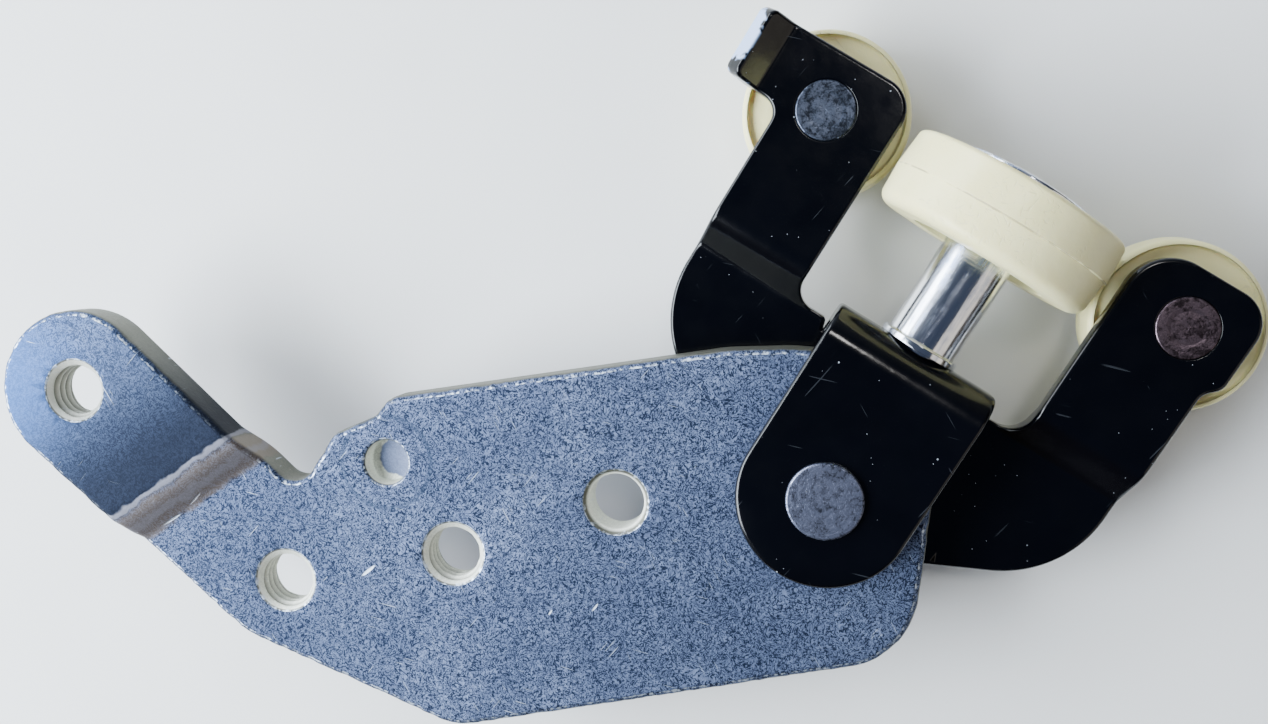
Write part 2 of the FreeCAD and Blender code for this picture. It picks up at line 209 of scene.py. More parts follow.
def rounded_loop(corners, step):
    """Points and outward normals of a closed outline of (x, y, radius) corners.

    The outline runs anticlockwise.  Straight runs are cut at about step.
    """
    places = [np.array(corner[:2], float) for corner in corners]
    count = len(places)
    runs = []
    for i in range(count):
        here = places[i]
        back = places[i - 1] - here
        ahead = places[(i + 1) % count] - here
        back /= np.linalg.norm(back)
        ahead /= np.linalg.norm(ahead)
        radius = corners[i][2]
        turn = math.acos(float(np.clip(np.dot(-back, ahead), -1, 1)))
        bends_left = -back[0] * ahead[1] + back[1] * ahead[0] > 0
        setback = radius * math.tan(turn / 2)
        centre_way = (back + ahead) / np.linalg.norm(back + ahead)
        centre = here + centre_way * radius / math.cos(turn / 2)
        samples = max(3, int(turn / math.radians(9)), int(radius * turn / step)) + 1
        arc = []
        for k in range(samples):
            angle = turn * (k / (samples - 1) - 0.5)
            signed = angle if bends_left else -angle
            spoke = -centre_way
            c, s = math.cos(signed), math.sin(signed)
            spoke = np.array((spoke[0] * c - spoke[1] * s, spoke[0] * s + spoke[1] * c))
            outward = spoke if bends_left else -spoke
            arc.append((centre + spoke * radius, outward))
        runs.append((here + back * setback, here + ahead * setback, arc))
    points = []
    normals = []
    for i in range(count):
        for place, outward in runs[i][2]:
            points.append(place)
            normals.append(outward)
        leave = runs[i][1]
        enter = runs[(i + 1) % count][0]
        length = np.linalg.norm(enter - leave)
        way = (enter - leave) / max(length, 1e-9)
        pieces = int(length / step) + 1
        for k in range(1, pieces):
            points.append(leave + (enter - leave) * k / pieces)
            normals.append(np.array((way[1], -way[0])))
    return np.array(points), np.array(normals)


def hole_loop(centre, radius, count):
    """Points and normals of a round hole: the normals point at its centre."""
    angles = np.linspace(0, 2 * math.pi, count, endpoint=False)
    spokes = np.stack((np.cos(angles), np.sin(angles)), axis=1)
    return np.array(centre) + spokes * radius, -spokes


def rim_rows(front_round, thick, back_round, wall_rows=3):
    """(inset, depth) rows from the front face round the rim to the back face."""
    rows = [(front_round + FLAT_MARGIN, 0.0)]
    for k in range(7):
        angle = math.pi / 2 * k / 6
        rows.append((front_round * (1 - math.sin(angle)), front_round * (1 - math.cos(angle))))
    deep = thick - back_round
    for k in range(1, wall_rows):
        rows.append((0.0, front_round + (deep - front_round) * k / wall_rows))
    for k in range(5):
        angle = math.pi / 2 * k / 4
        rows.append((back_round * (1 - math.cos(angle)), deep + back_round * math.sin(angle)))
    rows.append((back_round + FLAT_MARGIN, thick))
    return rows


def chamfered_rows(chamfer, thick, back_break):
    """Rows of a plain through hole with a lead-in chamfer."""
    rows = [(chamfer + 0.12, 0.0), (chamfer + 0.03, 0.03), (chamfer - 0.06, 0.1)]
    rows += [(0.1, chamfer - 0.06), (0.03, chamfer + 0.03), (0.0, chamfer + 0.15)]
    rows += [(0.0, thick * 0.6), (0.0, thick - back_break)]
    rows.append((back_break, thick))
    return rows


def thread_rows(count, thick):
    """Rows of a through hole with a helical thread and a chamfer at each end."""
    turns = np.linspace(0, 1, count, endpoint=False)
    rows = [(CHAMFER + 0.12, 0.0), (CHAMFER + 0.02, 0.04)]
    step = THREAD_PITCH / 12
    depth = 0.12
    while depth < thick - 0.02:
        phase = (depth / THREAD_PITCH + turns) % 1.0
        groove = np.clip(1.25 - 2.5 * np.abs(phase - 0.5), 0, 1) * THREAD_DEEP
        lead_in = CHAMFER - depth
        lead_out = depth - (thick - 0.5)
        rows.append((np.maximum(np.maximum(groove, lead_in), lead_out), depth))
        depth += step
    rows.append((THREAD_DEEP + 0.05, thick))
    return rows


def dimple_rows(depth, radius):
    """Rows of a half-sheared dimple: rolled mouth, wall and a dished floor."""
    rows = []
    for k in range(6):
        angle = math.pi / 2 * k / 5
        rows.append((DIMPLE_MOUTH * (1 - math.sin(angle)), DIMPLE_MOUTH * (1 - math.cos(angle))))
    rows.append((0.0, depth * 0.55))
    for k in range(1, 6):
        angle = math.pi / 2 * k / 5
        rows.append((-0.5 * (1 - math.cos(angle)), depth - 0.5 + 0.5 * math.sin(angle)))
    rows.append((-radius * 0.45, depth + 0.03))
    rows.append((-radius * 0.8, depth + 0.08))
    return rows


def boss_rows(thick, height):
    """Rows of the boss pushed out behind the dimple."""
    return [(-0.25, thick), (0.0, thick + 0.15), (0.0, thick + height - 0.3),
            (0.1, thick + height - 0.1), (0.35, thick + height)]


# -------------------------------------------------------------------- mesh building
def crossings(points, rings):
    """True where a point is inside an odd number of the closed rings."""
    inside = np.zeros(len(points), bool)
    for ring in rings:
        ahead = np.roll(ring, -1, axis=0)
        for (x0, y0), (x1, y1) in zip(ring, ahead):
            spans = (points[:, 1] < y0) != (points[:, 1] < y1)
            if y0 == y1:
                continue
            at = x0 + (points[:, 1] - y0) * (x1 - x0) / (y1 - y0)
            inside ^= spans & (points[:, 0] < at)
    return inside


def fill(rings, ids, inner):
    """Triangles over the face bounded by the rings, through the inner points."""
    border = np.concatenate(rings)
    border_ids = np.concatenate(ids)
    edges = []
    start = 0
    for ring in rings:
        size = len(ring)
        edges += [(start + i, start + (i + 1) % size) for i in range(size)]
        start += size
    points = [Vector(p) for p in np.concatenate((border, inner))]
    out, _, faces, origin, _, _ = delaunay_2d_cdt(points, edges, [], 0, 1e-7)
    centres = np.array([sum((out[i] for i in face), Vector((0, 0))) / 3 for face in faces])
    keep = crossings(centres, rings)
    triangles = []
    for face, wanted in zip(faces, keep):
        if wanted:
            triangles.append([origin[i][0] for i in face])
    return triangles, border_ids


def inner_points(rings, grids, clearance):
    """Grid points inside the face, kept clear of its rings."""
    points = np.concatenate(grids)
    points = points[crossings(points, rings)]
    border = np.concatenate(rings)
    gap = np.full(len(points), 1e9)
    for start in range(0, len(border), 200):
        part = border[start:start + 200]
        away = np.linalg.norm(points[:, None, :] - part[None, :, :], axis=2).min(axis=1)
        gap = np.minimum(gap, away)
    return points[gap > clearance]


def lattice(x_range, y_range, x_step, y_step):
    """Points of a rectangular grid."""
    xs = np.arange(x_range[0], x_range[1] + x_step / 2, x_step)
    ys = np.arange(y_range[0], y_range[1] + y_step / 2, y_step)
    return np.stack(np.meshgrid(xs, ys), axis=-1).reshape(-1, 2)


def rim_and_wall(loop, inset, depth, thick):
    """The rim and wall attributes of one row of a loop.

    Rim fades from 1 at the front face down the side, and is 0 on both faces.
    Wall is 1 on bored sides, the loop's own cut share on others and less at
    the roots of a thread, where the darkening is painted shade.
    """
    on_rim = 0.0 if depth <= 0 or depth >= thick else math.exp(-depth / loop["rim_fade"])
    cut = float(np.clip((depth - loop.get("cut_from", 0.0)) * 4, 0, 1))
    share = cut * loop.get("cut_share", 1.0) if depth < loop.get("cut_to", thick) else 0.0
    root = np.clip(inset, 0, THREAD_DEEP) / THREAD_DEEP * (depth > CHAMFER)
    return on_rim, share * (1 - loop.get("root_painted_shade", 0.0) * root)


def blank_mesh(name, loops, thick, place, grids, clearance):
    """Closed mesh of a bent blank.

    A loop is a dict of points, normals and (inset, depth) rows.  One marked
    blind goes in from the front and ends in a cap; one marked boss comes out
    of the back.
    """
    flat = []
    depths = []
    faces = []
    rim = []
    wall = []
    front_rings = []
    front_ids = []
    back_rings = []
    back_ids = []
    total = 0
    for loop in loops:
        points, normals, rows = loop["points"], loop["normals"], loop["rows"]
        count = len(points)
        first = total
        for inset, depth in rows:
            flat.append(points - normals * np.reshape(inset, (-1, 1)))
            depths.append(np.full(count, depth))
            on_rim, on_wall = rim_and_wall(loop, inset, depth, thick)
            rim.append(np.full(count, on_rim))
            wall.append(np.full(count, on_wall))
            total += count
        for r in range(len(rows) - 1):
            low = first + r * count
            for i in range(count):
                j = (i + 1) % count
                faces.append((low + i, low + j, low + count + j, low + count + i))
        last = total - count
        if loop.get("boss"):
            back_rings.append(flat[-len(rows)])
            back_ids.append(np.arange(first, first + count))
        else:
            front_rings.append(flat[-len(rows)])
            front_ids.append(np.arange(first, first + count))
        if loop.get("blind") or loop.get("boss"):
            faces.append(tuple(range(last, total)))
        else:
            back_rings.append(flat[-1])
            back_ids.append(np.arange(last, total))
    for rings, ids, depth in ((front_rings, front_ids, 0.0), (back_rings, back_ids, thick)):
        inner = inner_points(rings, grids, clearance)
        triangles, border_ids = fill(rings, ids, inner)
        index = np.concatenate((border_ids, np.arange(total, total + len(inner))))
        faces += [tuple(int(index[i]) for i in triangle) for triangle in triangles]
        flat.append(inner)
        depths.append(np.full(len(inner), depth))
        rim.append(np.zeros(len(inner)))
        wall.append(np.zeros(len(inner)))
        total += len(inner)
    placed = place(np.concatenate(flat), np.concatenate(depths))
    mesh = bpy.data.meshes.new(name)
    mesh.from_pydata([tuple(p) for p in placed], [], faces)
    for title, values in (("rim", rim), ("wall", wall)):
        attribute = mesh.attributes.new(title, "FLOAT", "POINT")
        attribute.data.foreach_set("value", np.concatenate(values).astype(np.float32))
    return finished(name, mesh)


def finished(name, mesh):
    """Object of a closed mesh, its faces outward and its shading even."""
    work = bmesh.new()
    work.from_mesh(mesh)
    bmesh.ops.recalc_face_normals(work, faces=work.faces)
    for face in work.faces:
        face.smooth = True
    work.to_mesh(mesh)
    work.free()
    piece = bpy.data.objects.new(name, mesh)
    bpy.context.scene.collection.objects.link(piece)
    even = piece.modifiers.new("even_shading", "WEIGHTED_NORMAL")
    even.weight = 80
    even.keep_sharp = True
    return piece


def turned(name, corners, matrix, segments=144, step=0.5, shape=None):
    """Closed piece turned about Z from (radius, height, rounding) corners."""
    points = rounded_loop(corners, step)[0]
    rings = []
    verts = []
    for radius, height in points:
        if radius < 1e-4:
            rings.append([len(verts)])
            verts.append((0.0, 0.0, height))
            continue
        ring = []
        for i in range(segments):
            angle = 2 * math.pi * i / segments
            ring.append(len(verts))
            verts.append((radius * math.cos(angle), radius * math.sin(angle), height))
        rings.append(ring)
    faces = []
    for k in range(len(rings)):
        here = rings[k]
        ahead = rings[(k + 1) % len(rings)]
        if len(here) == 1 and len(ahead) == 1:
            continue
        for i in range(segments):
            j = (i + 1) % segments
            corners_of = [here[i % len(here)], here[j % len(here)],
                          ahead[j % len(ahead)], ahead[i % len(ahead)]]
            faces.append(tuple(dict.fromkeys(corners_of)))
    if shape:
        verts = [shape(Vector(vert)) for vert in verts]
    mesh = bpy.data.meshes.new(name)
    mesh.from_pydata([tuple(matrix @ Vector(vert)) for vert in verts], [], faces)
    return finished(name, mesh)


def blended_step(x, run, rise, low_radius, high_radius):
    """Height of a ramp from 0 to rise over run, with an arc at each end."""
    slope = math.atan2(rise, run)
    low_back = low_radius * math.tan(slope / 2)
    high_back = high_radius * math.tan(slope / 2)
    height = np.clip(x, 0, run) * rise / run
    low_in = low_back * (1 + math.cos(slope))
    at = np.clip(x + low_back, 0, low_in)
    near = (x > -low_back) & (x < low_in - low_back)
    height = np.where(near, low_radius - np.sqrt(low_radius ** 2 - at ** 2), height)
    high_in = high_back * (1 + math.cos(slope))
    at = np.clip(run + high_back - x, 0, high_in)
    near = (x > run + high_back - high_in) & (x < run + high_back)
    return np.where(near, rise - high_radius + np.sqrt(high_radius ** 2 - at ** 2), height)


def bent_height(x, run, rise, thick, radius, depth):
    """Height in a sheet with a Z-bend, depth below its front face."""
    lift = thick * math.tan(math.atan2(rise, run) / 2)
    front = blended_step(x, run, rise, radius, radius + thick)
    back = blended_step(x - lift, run, rise, radius + thick, radius)
    return front + (back - front) * np.clip(depth / thick, 0, 1) - depth


# ------------------------------------------------------------------- mounting plate
def plate_corners():
    """Outline of the plate, anticlockwise from the notch beside the tab."""
    along = np.array((-0.61, 0.792))
    across = np.array((-0.792, -0.61))
    centre = np.array(TAB_CENTRE)
    end_left = centre + (along + across) * TAB_RADIUS
    end_right = centre + (along - across) * TAB_RADIUS
    full = TAB_RADIUS - 0.25
    return [
        (-20.3, 11.8, 3.1),
        (end_right[0], end_right[1], full),
        (end_left[0], end_left[1], full),
        (-32.3, -6.4, 14.0),
        (-4.6, -23.8, 9.0),
        (57.6, -22.8, 11.0),
        (65.6, 2.0, 12.0),
        (60.5, 16.6, 9.0),
        (50.0, 19.4, 20.0),
        (41.5, 20.7, 20.0),
        (-4.6, 22.4, 2.6),
        (-7.4, 20.2, 2.6),
        (-13.6, 18.9, 4.0),
    ]


def plate_place(flat, depth):
    """Bend the plate's blank over the joggle and lift it to its place."""
    angle = math.radians(JOGGLE_ANGLE)
    way = np.array((-math.sin(angle), math.cos(angle)))
    x = (flat - np.array(JOGGLE_START)) @ way
    height = bent_height(x, JOGGLE_RUN, TAB_STEP, PLATE_THICK, JOGGLE_BEND, depth)
    return np.column_stack((flat, height + PLATE_THICK)) * MM


def make_plate():
    """Mounting plate with its rolled front rim, threads, hole, dimple and joggle."""
    points, normals = rounded_loop(plate_corners(), 0.6)
    ragged = np.random.default_rng(5)
    burr = np.convolve(ragged.normal(0, 0.16, len(points)), np.ones(3) / 3, "same")
    rows = []
    for inset, depth in rim_rows(PLATE_ROLL, PLATE_THICK, BACK_BREAK, 5):
        near_front = max(0.0, 1 - abs(depth - PLATE_ROLL * 0.4) / PLATE_ROLL)
        rows.append((inset + np.abs(burr) * near_front, depth))
    loops = [{"points": points, "normals": normals, "rows": rows, "rim_fade": 0.55,
              "cut_from": 0.3, "cut_share": 0.5}]
    around = 96
    for centre in THREADED_HOLES:
        ring, inward = hole_loop(centre, THREAD_MINOR, around)
        # Thread roots get less of the bright bored tone: painted shade in the grooves
        loops.append({"points": ring, "normals": inward,
                      "rows": thread_rows(around, PLATE_THICK), "rim_fade": 0.8,
                      "root_painted_shade": 0.3})
    ring, inward = hole_loop(PLAIN_HOLE, PLAIN_HOLE_R, around)
    loops.append({"points": ring, "normals": inward,
                  "rows": chamfered_rows(PLAIN_CHAMFER, PLATE_THICK, BACK_BREAK),
                  "rim_fade": 0.8})
    pivot = (PIVOT.x / MM, PIVOT.y / MM)
    ring, inward = hole_loop(pivot, BUSH_BORE_R, around)
    loops.append({"points": ring, "normals": inward,
                  "rows": chamfered_rows(0.2, PLATE_THICK, 0.2), "rim_fade": 0.3})
    ring, inward = hole_loop(DOWEL, DOWEL_R, around)
    loops.append({"points": ring, "normals": inward, "blind": True,
                  "rows": dimple_rows(DOWEL_DEPTH, DOWEL_R), "rim_fade": 0.5,
                  "cut_from": 0.1, "cut_to": DOWEL_DEPTH - 0.1})
    ring, inward = hole_loop(DOWEL, DOWEL_BOSS_R, around)
    loops.append({"points": ring, "normals": -inward, "boss": True,
                  "rows": boss_rows(PLATE_THICK, DOWEL_DEPTH), "rim_fade": 0.5})
    coarse = lattice((-62, 68), (-26, 46), 2.2, 2.2)
    angle = math.radians(JOGGLE_ANGLE)
    turn = np.array(((math.cos(angle), math.sin(angle)), (-math.sin(angle), math.cos(angle))))
    band = lattice((-22, 34), (-2.5, 9.5), 0.9, 0.45)
    off_band = (coarse - np.array(JOGGLE_START)) @ turn.T
    coarse = coarse[(off_band[:, 1] < -3.2) | (off_band[:, 1] > 10.2)]
    fine = band @ turn + np.array(JOGGLE_START)
    return blank_mesh("mounting_plate_zinc", loops, PLATE_THICK, plate_place,
                      [coarse, fine], 0.55)


# ------------------------------------------------------------------ carriage bracket
FOLD_START = WEB_INNER - BEND_INNER
BEND_LENGTH = math.pi / 2 * (BEND_INNER + SHEET / 2)
WEB_STRAIGHT = (EAR_BACK - BEND_INNER) - (REAR_FRONT + BEND_INNER)
WEB_START = FOLD_START + BEND_LENGTH
WEB_END = WEB_START + WEB_STRAIGHT
EAR_START = WEB_END + BEND_LENGTH
EAR_END = EAR_START + FOLD_START + EAR_HALF


def bracket_corners():
    """Flat blank of the bracket, in mm across and along."""
    return [
        (0.0, -10.6, 9.3),
        (ARM_OUTER_RIGHT, 6.6, 15.5),
        (ARM_OUTER_RIGHT, SHOULDER_V - 0.9, 2.2),
        (SHOULDER, SHOULDER_V + 0.9, 2.2),
        (SHOULDER, ARM_TOP - 0.2, 4.5),
        (ARM_INNER, ARM_TOP - 0.2, 6.0),
        (ARM_INNER, NOTCH_FLOOR, 2.8),
        (EAR_HALF + 0.5, NOTCH_FLOOR, 0.7),
        (EAR_HALF, FOLD_START - 0.05, 0.04),
        (EAR_HALF, EAR_END, EAR_HALF - 0.05),
        (-EAR_HALF, EAR_END, EAR_HALF - 0.05),
        (-EAR_HALF, FOLD_START - 0.05, 0.04),
        (-EAR_HALF - 0.5, NOTCH_FLOOR, 0.7),
        (-ARM_INNER, NOTCH_FLOOR, 2.8),
        (-ARM_INNER, ARM_TOP, 4.2),
        (-LIP_BEND - LIP_LENGTH, ARM_TOP, 1.2),
        (-LIP_BEND - LIP_LENGTH, LIP_LOW, 1.2),
        (-ARM_OUTER_LEFT, LIP_LOW - 0.4, 2.4),
        (-ARM_OUTER_LEFT, 6.6, 15.5),
    ]


def fold_tongue(along, depth):
    """Place along the tongue folded forward and back over the pivot."""
    first = np.clip((along - FOLD_START) / BEND_LENGTH, 0, 1) * math.pi / 2
    second = np.clip((along - WEB_END) / BEND_LENGTH, 0, 1) * math.pi / 2
    reach = BEND_INNER + depth
    v = FOLD_START + reach * np.sin(first) - reach * (1 - np.cos(second))
    v -= np.clip(along - EAR_START, 0, None)
    z = REAR_FRONT + BEND_INNER - reach * np.cos(first)
    z += np.clip(along - WEB_START, 0, WEB_STRAIGHT) + reach * np.sin(second)
    v = np.where(along < FOLD_START, along, v)
    return v, z


def bend_lip(across, z):
    """Turn what lies past the lip's bend line towards the front."""
    angle = math.radians(LIP_ANGLE)
    start = -LIP_BEND + LIP_INNER * math.tan(angle / 2)
    arc = angle * (LIP_INNER + SHEET / 2) * 0.55
    past = np.clip(start - across, 0, None)
    turn = np.clip(past / arc, 0, 1) * angle
    reach = LIP_INNER + (ARM_FRONT - z)
    beyond = np.clip(past - arc, 0, None)
    u = start - reach * np.sin(turn) - beyond * math.cos(angle)
    up = ARM_FRONT + LIP_INNER - reach * np.cos(turn) + beyond * math.sin(angle)
    bent = across < start
    return np.where(bent, u, across), np.where(bent, up, z)


def bracket_place(flat, depth):
    """Fold the bracket's blank and put it on the carriage."""
    across, along = flat[:, 0], flat[:, 1]
    fold_v, fold_z = fold_tongue(along, depth)
    step = bent_height(along - STEP_START, STEP_RUN, ARM_STEP, SHEET, ARM_BEND, depth)
    arm_u, arm_z = bend_lip(across, REAR_FRONT + step)
    tongue = (np.abs(across) < EAR_HALF + 0.005) & (along > FOLD_START)
    from_pin = np.hypot(across, fold_v) * (fold_v < 0) * (along > EAR_START)
    roll = np.clip((from_pin - EAR_ROLL_START) / (EAR_HALF - EAR_ROLL_START), 0, 1)
    at_end = np.clip(-1.6 * fold_v / np.maximum(from_pin, 1.0), 0, 1)
    fold_z -= EAR_ROLL_DROP * (roll * at_end) ** 2
    u = np.where(tongue, across, arm_u)
    v = np.where(tongue, fold_v, along)
    z = np.where(tongue, fold_z, arm_z)
    matrix = np.array(carriage_matrix())
    return np.column_stack((u, v, z)) @ matrix[:3, :3].T + matrix[:3, 3]


def make_bracket():
    """Folded bracket with soft painted rims and its four holes."""
    points, normals = rounded_loop(bracket_corners(), 0.45)
    loops = [{"points": points, "normals": normals, "rim_fade": 0.8,
              "rows": rim_rows(PAINT_ROUND, SHEET, PAINT_ROUND)}]
    ear_centre = EAR_START + FOLD_START
    web_centre = WEB_START + LOAD_CENTRE.z / MM - (REAR_FRONT + BEND_INNER)
    holes = (((0.0, 0.0), PIN_R), ((0.0, ear_centre), PIN_R), ((0.0, web_centre), TENON_R),
             ((-GUIDE_U, GUIDE_V), GUIDE_RIVET_R), ((GUIDE_U, GUIDE_V), GUIDE_RIVET_R))
    for centre, radius in holes:
        ring, inward = hole_loop(centre, radius + 0.02, 72)
        loops.append({"points": ring, "normals": inward, "rim_fade": 0.2,
                      "rows": rim_rows(0.16, SHEET, 0.16, 2)})
    coarse = lattice((-41, 35), (-11, 60), 1.7, 1.7)
    in_tongue = np.abs(coarse[:, 0]) < EAR_HALF
    along = coarse[:, 1]
    in_fold = in_tongue & (along > FOLD_START - 1) & (along < EAR_START + 1)
    in_step = ~in_tongue & (along > STEP_START - 3) & (along < STEP_START + STEP_RUN + 5)
    in_lip = coarse[:, 0] < -LIP_BEND + 2
    in_ear_end = in_tongue & (along > EAR_START + FOLD_START)
    coarse = coarse[~(in_fold | in_step | in_lip | in_ear_end)]
    ear_end = lattice((-EAR_HALF, EAR_HALF), (EAR_START + FOLD_START + 0.4, EAR_END), 0.7, 0.7)
    edge = EAR_HALF - 1.0
    folds = lattice((-edge, edge), (FOLD_START - 0.8, EAR_START + 0.8), 0.9, 0.34)
    steps = lattice((-ARM_OUTER_RIGHT, ARM_OUTER_RIGHT),
                    (STEP_START - 2.6, STEP_START + STEP_RUN + 4.6), 0.9, 0.4)
    steps = steps[np.abs(steps[:, 0]) > EAR_HALF + 0.3]
    lip = lattice((-LIP_BEND - LIP_LENGTH, -LIP_BEND + 1.8), (LIP_LOW, ARM_TOP), 0.3, 0.9)
    return blank_mesh("carriage_bracket_black", loops, SHEET, bracket_place,
                      [coarse, folds, steps, lip, ear_end], 0.34)


# ------------------------------------------------------------------- turned pieces
def make_pivot_pin():
    """Pivot pin with its riveted front head and broad rear head."""
    rear = REAR_BACK - PIN_FOOT_THICK
    top = EAR_FRONT + PIN_HEAD_RISE
    corners = [
        (0.0, rear, 0), (PIN_FOOT_R, rear, 0.8), (PIN_FOOT_R, REAR_BACK, 0.1),
        (PIN_R, REAR_BACK, 0),
        (PIN_R, EAR_FRONT, 0), (PIN_HEAD_R, EAR_FRONT, 0.06), (PIN_HEAD_R, top, 0.32),
        (0.0, top, 0),
    ]
    return turned("pivot_pin_zinc", corners, carriage_matrix(), step=0.4)


def make_guide_pin(side):
    """Stepped guide rivet, its face nearly flush with the arm."""
    matrix = guide_matrix(side)
    middle = JOINTS[side + "_roller_spin"]["pos_m"][2] / MM
    low = ARM_BACK - middle
    top = ARM_FRONT - middle + 0.1
    seat = -GUIDE_BEARING["width"] / 2
    foot = seat - GUIDE_FOOT_THICK
    bore = GUIDE_BEARING["bore"]
    corners = [
        (0.0, foot, 0), (GUIDE_FOOT_R, foot, 0.5), (GUIDE_FOOT_R, seat, 0.1), (bore, seat, 0),
        (bore, low, 0), (GUIDE_RIVET_R, low, 0.05), (GUIDE_RIVET_R, top, 0.22),
        (2.6, top, 0.5), (2.1, top - 0.05, 0.5), (1.2, top - 0.02, 0.4), (0.0, top - 0.06, 0),
    ]
    return turned(side + "_guide_pin_zinc", corners, matrix, step=0.4)


def make_load_shaft():
    """Shaft with its collar, shoulder and riveted ends."""
    seat = LOAD_MIDDLE - LOAD_BEARING["width"] / 2
    end = LOAD_MIDDLE + LOAD_THICK / 2 + WASHER_GAP + WASHER_THICK
    collar = WEB_OUTER + COLLAR_THICK
    bore = LOAD_BEARING["bore"]
    corners = [
        (0.0, WEB_INNER, 0), (TENON_R, WEB_INNER, 0.3), (TENON_R, WEB_OUTER, 0),
        (COLLAR_R, WEB_OUTER, 0.08), (COLLAR_R, collar, 0.3), (SHAFT_R, collar + 0.1, 0.08),
        (SHAFT_R, seat, 0.3), (bore, seat, 0), (bore, end, 0), (SHAFT_HEAD_R, end, 0.05),
        (SHAFT_HEAD_R - 0.4, end + SHAFT_HEAD_RISE, 0.3), (0.0, end + SHAFT_HEAD_RISE - 0.1, 0),
    ]
    return turned("load_roller_shaft_bright", corners, load_matrix(), step=0.6)


def make_load_washer():
    """Stepped washer over the load roller's bore."""
    low = LOAD_MIDDLE + LOAD_BEARING["width"] / 2
    face = LOAD_MIDDLE + LOAD_THICK / 2 + WASHER_GAP
    bore = LOAD_BEARING["bore"] + 0.01
    corners = [
        (bore, low, 0), (WASHER_NECK_R, low, 0.1), (WASHER_NECK_R, face, 0.1),
        (WASHER_R, face, 0.1),
        (WASHER_R, face + WASHER_THICK, 0.3), (bore, face + WASHER_THICK, 0.1),
    ]
    return turned("load_roller_washer_bright", corners, load_matrix(), step=0.5)


def make_load_tyre():
    """Load roller tyre; its two moulded halves sit slightly off each other."""
    half = LOAD_THICK / 2
    seat = LOAD_BEARING["width"] / 2
    bore = LOAD_BEARING["outer"]
    lip = bore - 0.8
    shoulder = LOAD_R - 0.45
    crown = LOAD_R - 0.05
    corners = [
        (lip, -half, 0.2), (shoulder, -half, 1.7), (crown - PARTING_STEP, -0.1, 0.05),
        (crown, 0.02, 0.05), (shoulder, half, 0.7), (lip, half, 0.2), (lip, seat, 0.1),
        (bore, seat, 0), (bore, -seat, 0), (lip, -seat, 0.1),
    ]

    def offset_halves(point):
        if point.z < -0.02 and point.to_2d().length > bore + 0.5:
            point.x -= PARTING_STEP * 0.9
        return point

    return turned("load_roller_tyre_ivory", corners, load_matrix(LOAD_MIDDLE), 176, 0.5,
                  offset_halves)


def make_guide_tyre(side):
    """Guide roller tyre with raised, rounded rims round its recessed faces."""
    half = GUIDE_THICK / 2
    seat = GUIDE_BEARING["width"] / 2
    bore = GUIDE_BEARING["outer"]
    lip = bore - 0.6
    rim = GUIDE_RIM_R
    floor = half - GUIDE_RECESS
    shoulder = GUIDE_R - 0.3
    corners = [
        (lip, -floor, 0.2), (rim, -floor, 0.35), (rim + 0.15, -half, 0.12),
        (shoulder, -half, 0.75), (GUIDE_R, 0.0, 0.5), (shoulder, half, 0.75),
        (rim + 0.15, half, 0.12), (rim, floor, 0.35), (lip, floor, 0.2), (lip, seat, 0.1),
        (bore, seat, 0), (bore, -seat, 0), (lip, -seat, 0.1),
    ]
    return turned(side + "_guide_tyre_ivory", corners, guide_matrix(side), 160, 0.5)


# --------------------------------------------------------------------- shader groups
def add(tree, kind, settings=None, **inputs):
    """Node of that kind; inputs are values or sockets, by name or position."""
    node = tree.nodes.new(kind)
    for name, value in (settings or {}).items():
        setattr(node, name, value)
    for name, value in inputs.items():
        key = int(name[1:]) if name[0] == "i" and name[1:].isdigit() else name.replace("_", " ")
        socket = node.inputs[key]
        if isinstance(value, bpy.types.NodeSocket):
            tree.links.new(value, socket)
        else:
            socket.default_value = value
    return node


def maths(tree, operation, a, b=0.0, clamp=False):
    """Value of a Math node."""
    settings = {"operation": operation, "use_clamp": clamp}
    return add(tree, "ShaderNodeMath", settings, i0=a, i1=b).outputs[0]


def times(tree, a, b):
    """Product of two values."""
    return maths(tree, "MULTIPLY", a, b)


def plus(tree, a, b, clamp=False):
    """Sum of two values, kept between 0 and 1 if clamped."""
    return maths(tree, "ADD", a, b, clamp)


def minus(tree, a, b):
    """Difference of two values."""
    return maths(tree, "SUBTRACT", a, b)


def larger(tree, a, b):
    """The larger of two values."""
    return maths(tree, "MAXIMUM", a, b)


def dot(tree, place, way):
    """How far a place lies along a direction."""
    node = add(tree, "ShaderNodeVectorMath", {"operation": "DOT_PRODUCT"}, i0=place, i1=way)
    return node.outputs["Value"]


def apart(tree, place, centre):
    """Distance of a place from a centre."""
    node = add(tree, "ShaderNodeVectorMath", {"operation": "DISTANCE"}, i0=place, i1=centre)
    return node.outputs["Value"]


def remap(tree, value, low, high, to_low=0.0, to_high=1.0, smooth=True):
    """Clamped Map Range from low..high to to_low..to_high."""
    kind = "SMOOTHSTEP" if smooth else "LINEAR"
    node = add(tree, "ShaderNodeMapRange", {"interpolation_type": kind}, i0=value, i1=low,
               i2=high, i3=to_low, i4=to_high)
    return node.outputs[0]


def mix(tree, factor, a, b, blend="MIX"):
    """Colour between a and b."""
    node = add(tree, "ShaderNodeMix", {"data_type": "RGBA", "blend_type": blend})
    for index, value in ((0, factor), (6, a), (7, b)):
        if isinstance(value, bpy.types.NodeSocket):
            tree.links.new(value, node.inputs[index])
        else:
            node.inputs[index].default_value = value
    return node.outputs[2]


def coated(tree, tone, coats):
    """A tone under coats of (mask, share, colour), the last one on top."""
    for mask, share, colour in coats:
        amount = mask if share == 1.0 else times(tree, mask, share)
        tone = mix(tree, amount, tone, colour)
    return tone


def noise(tree, vector, scale, detail=2.0, rough=0.5):
    """Noise value at that scale."""
    return add(tree, "ShaderNodeTexNoise", None, Vector=vector, Scale=scale, Detail=detail,
               Roughness=rough).outputs[0]


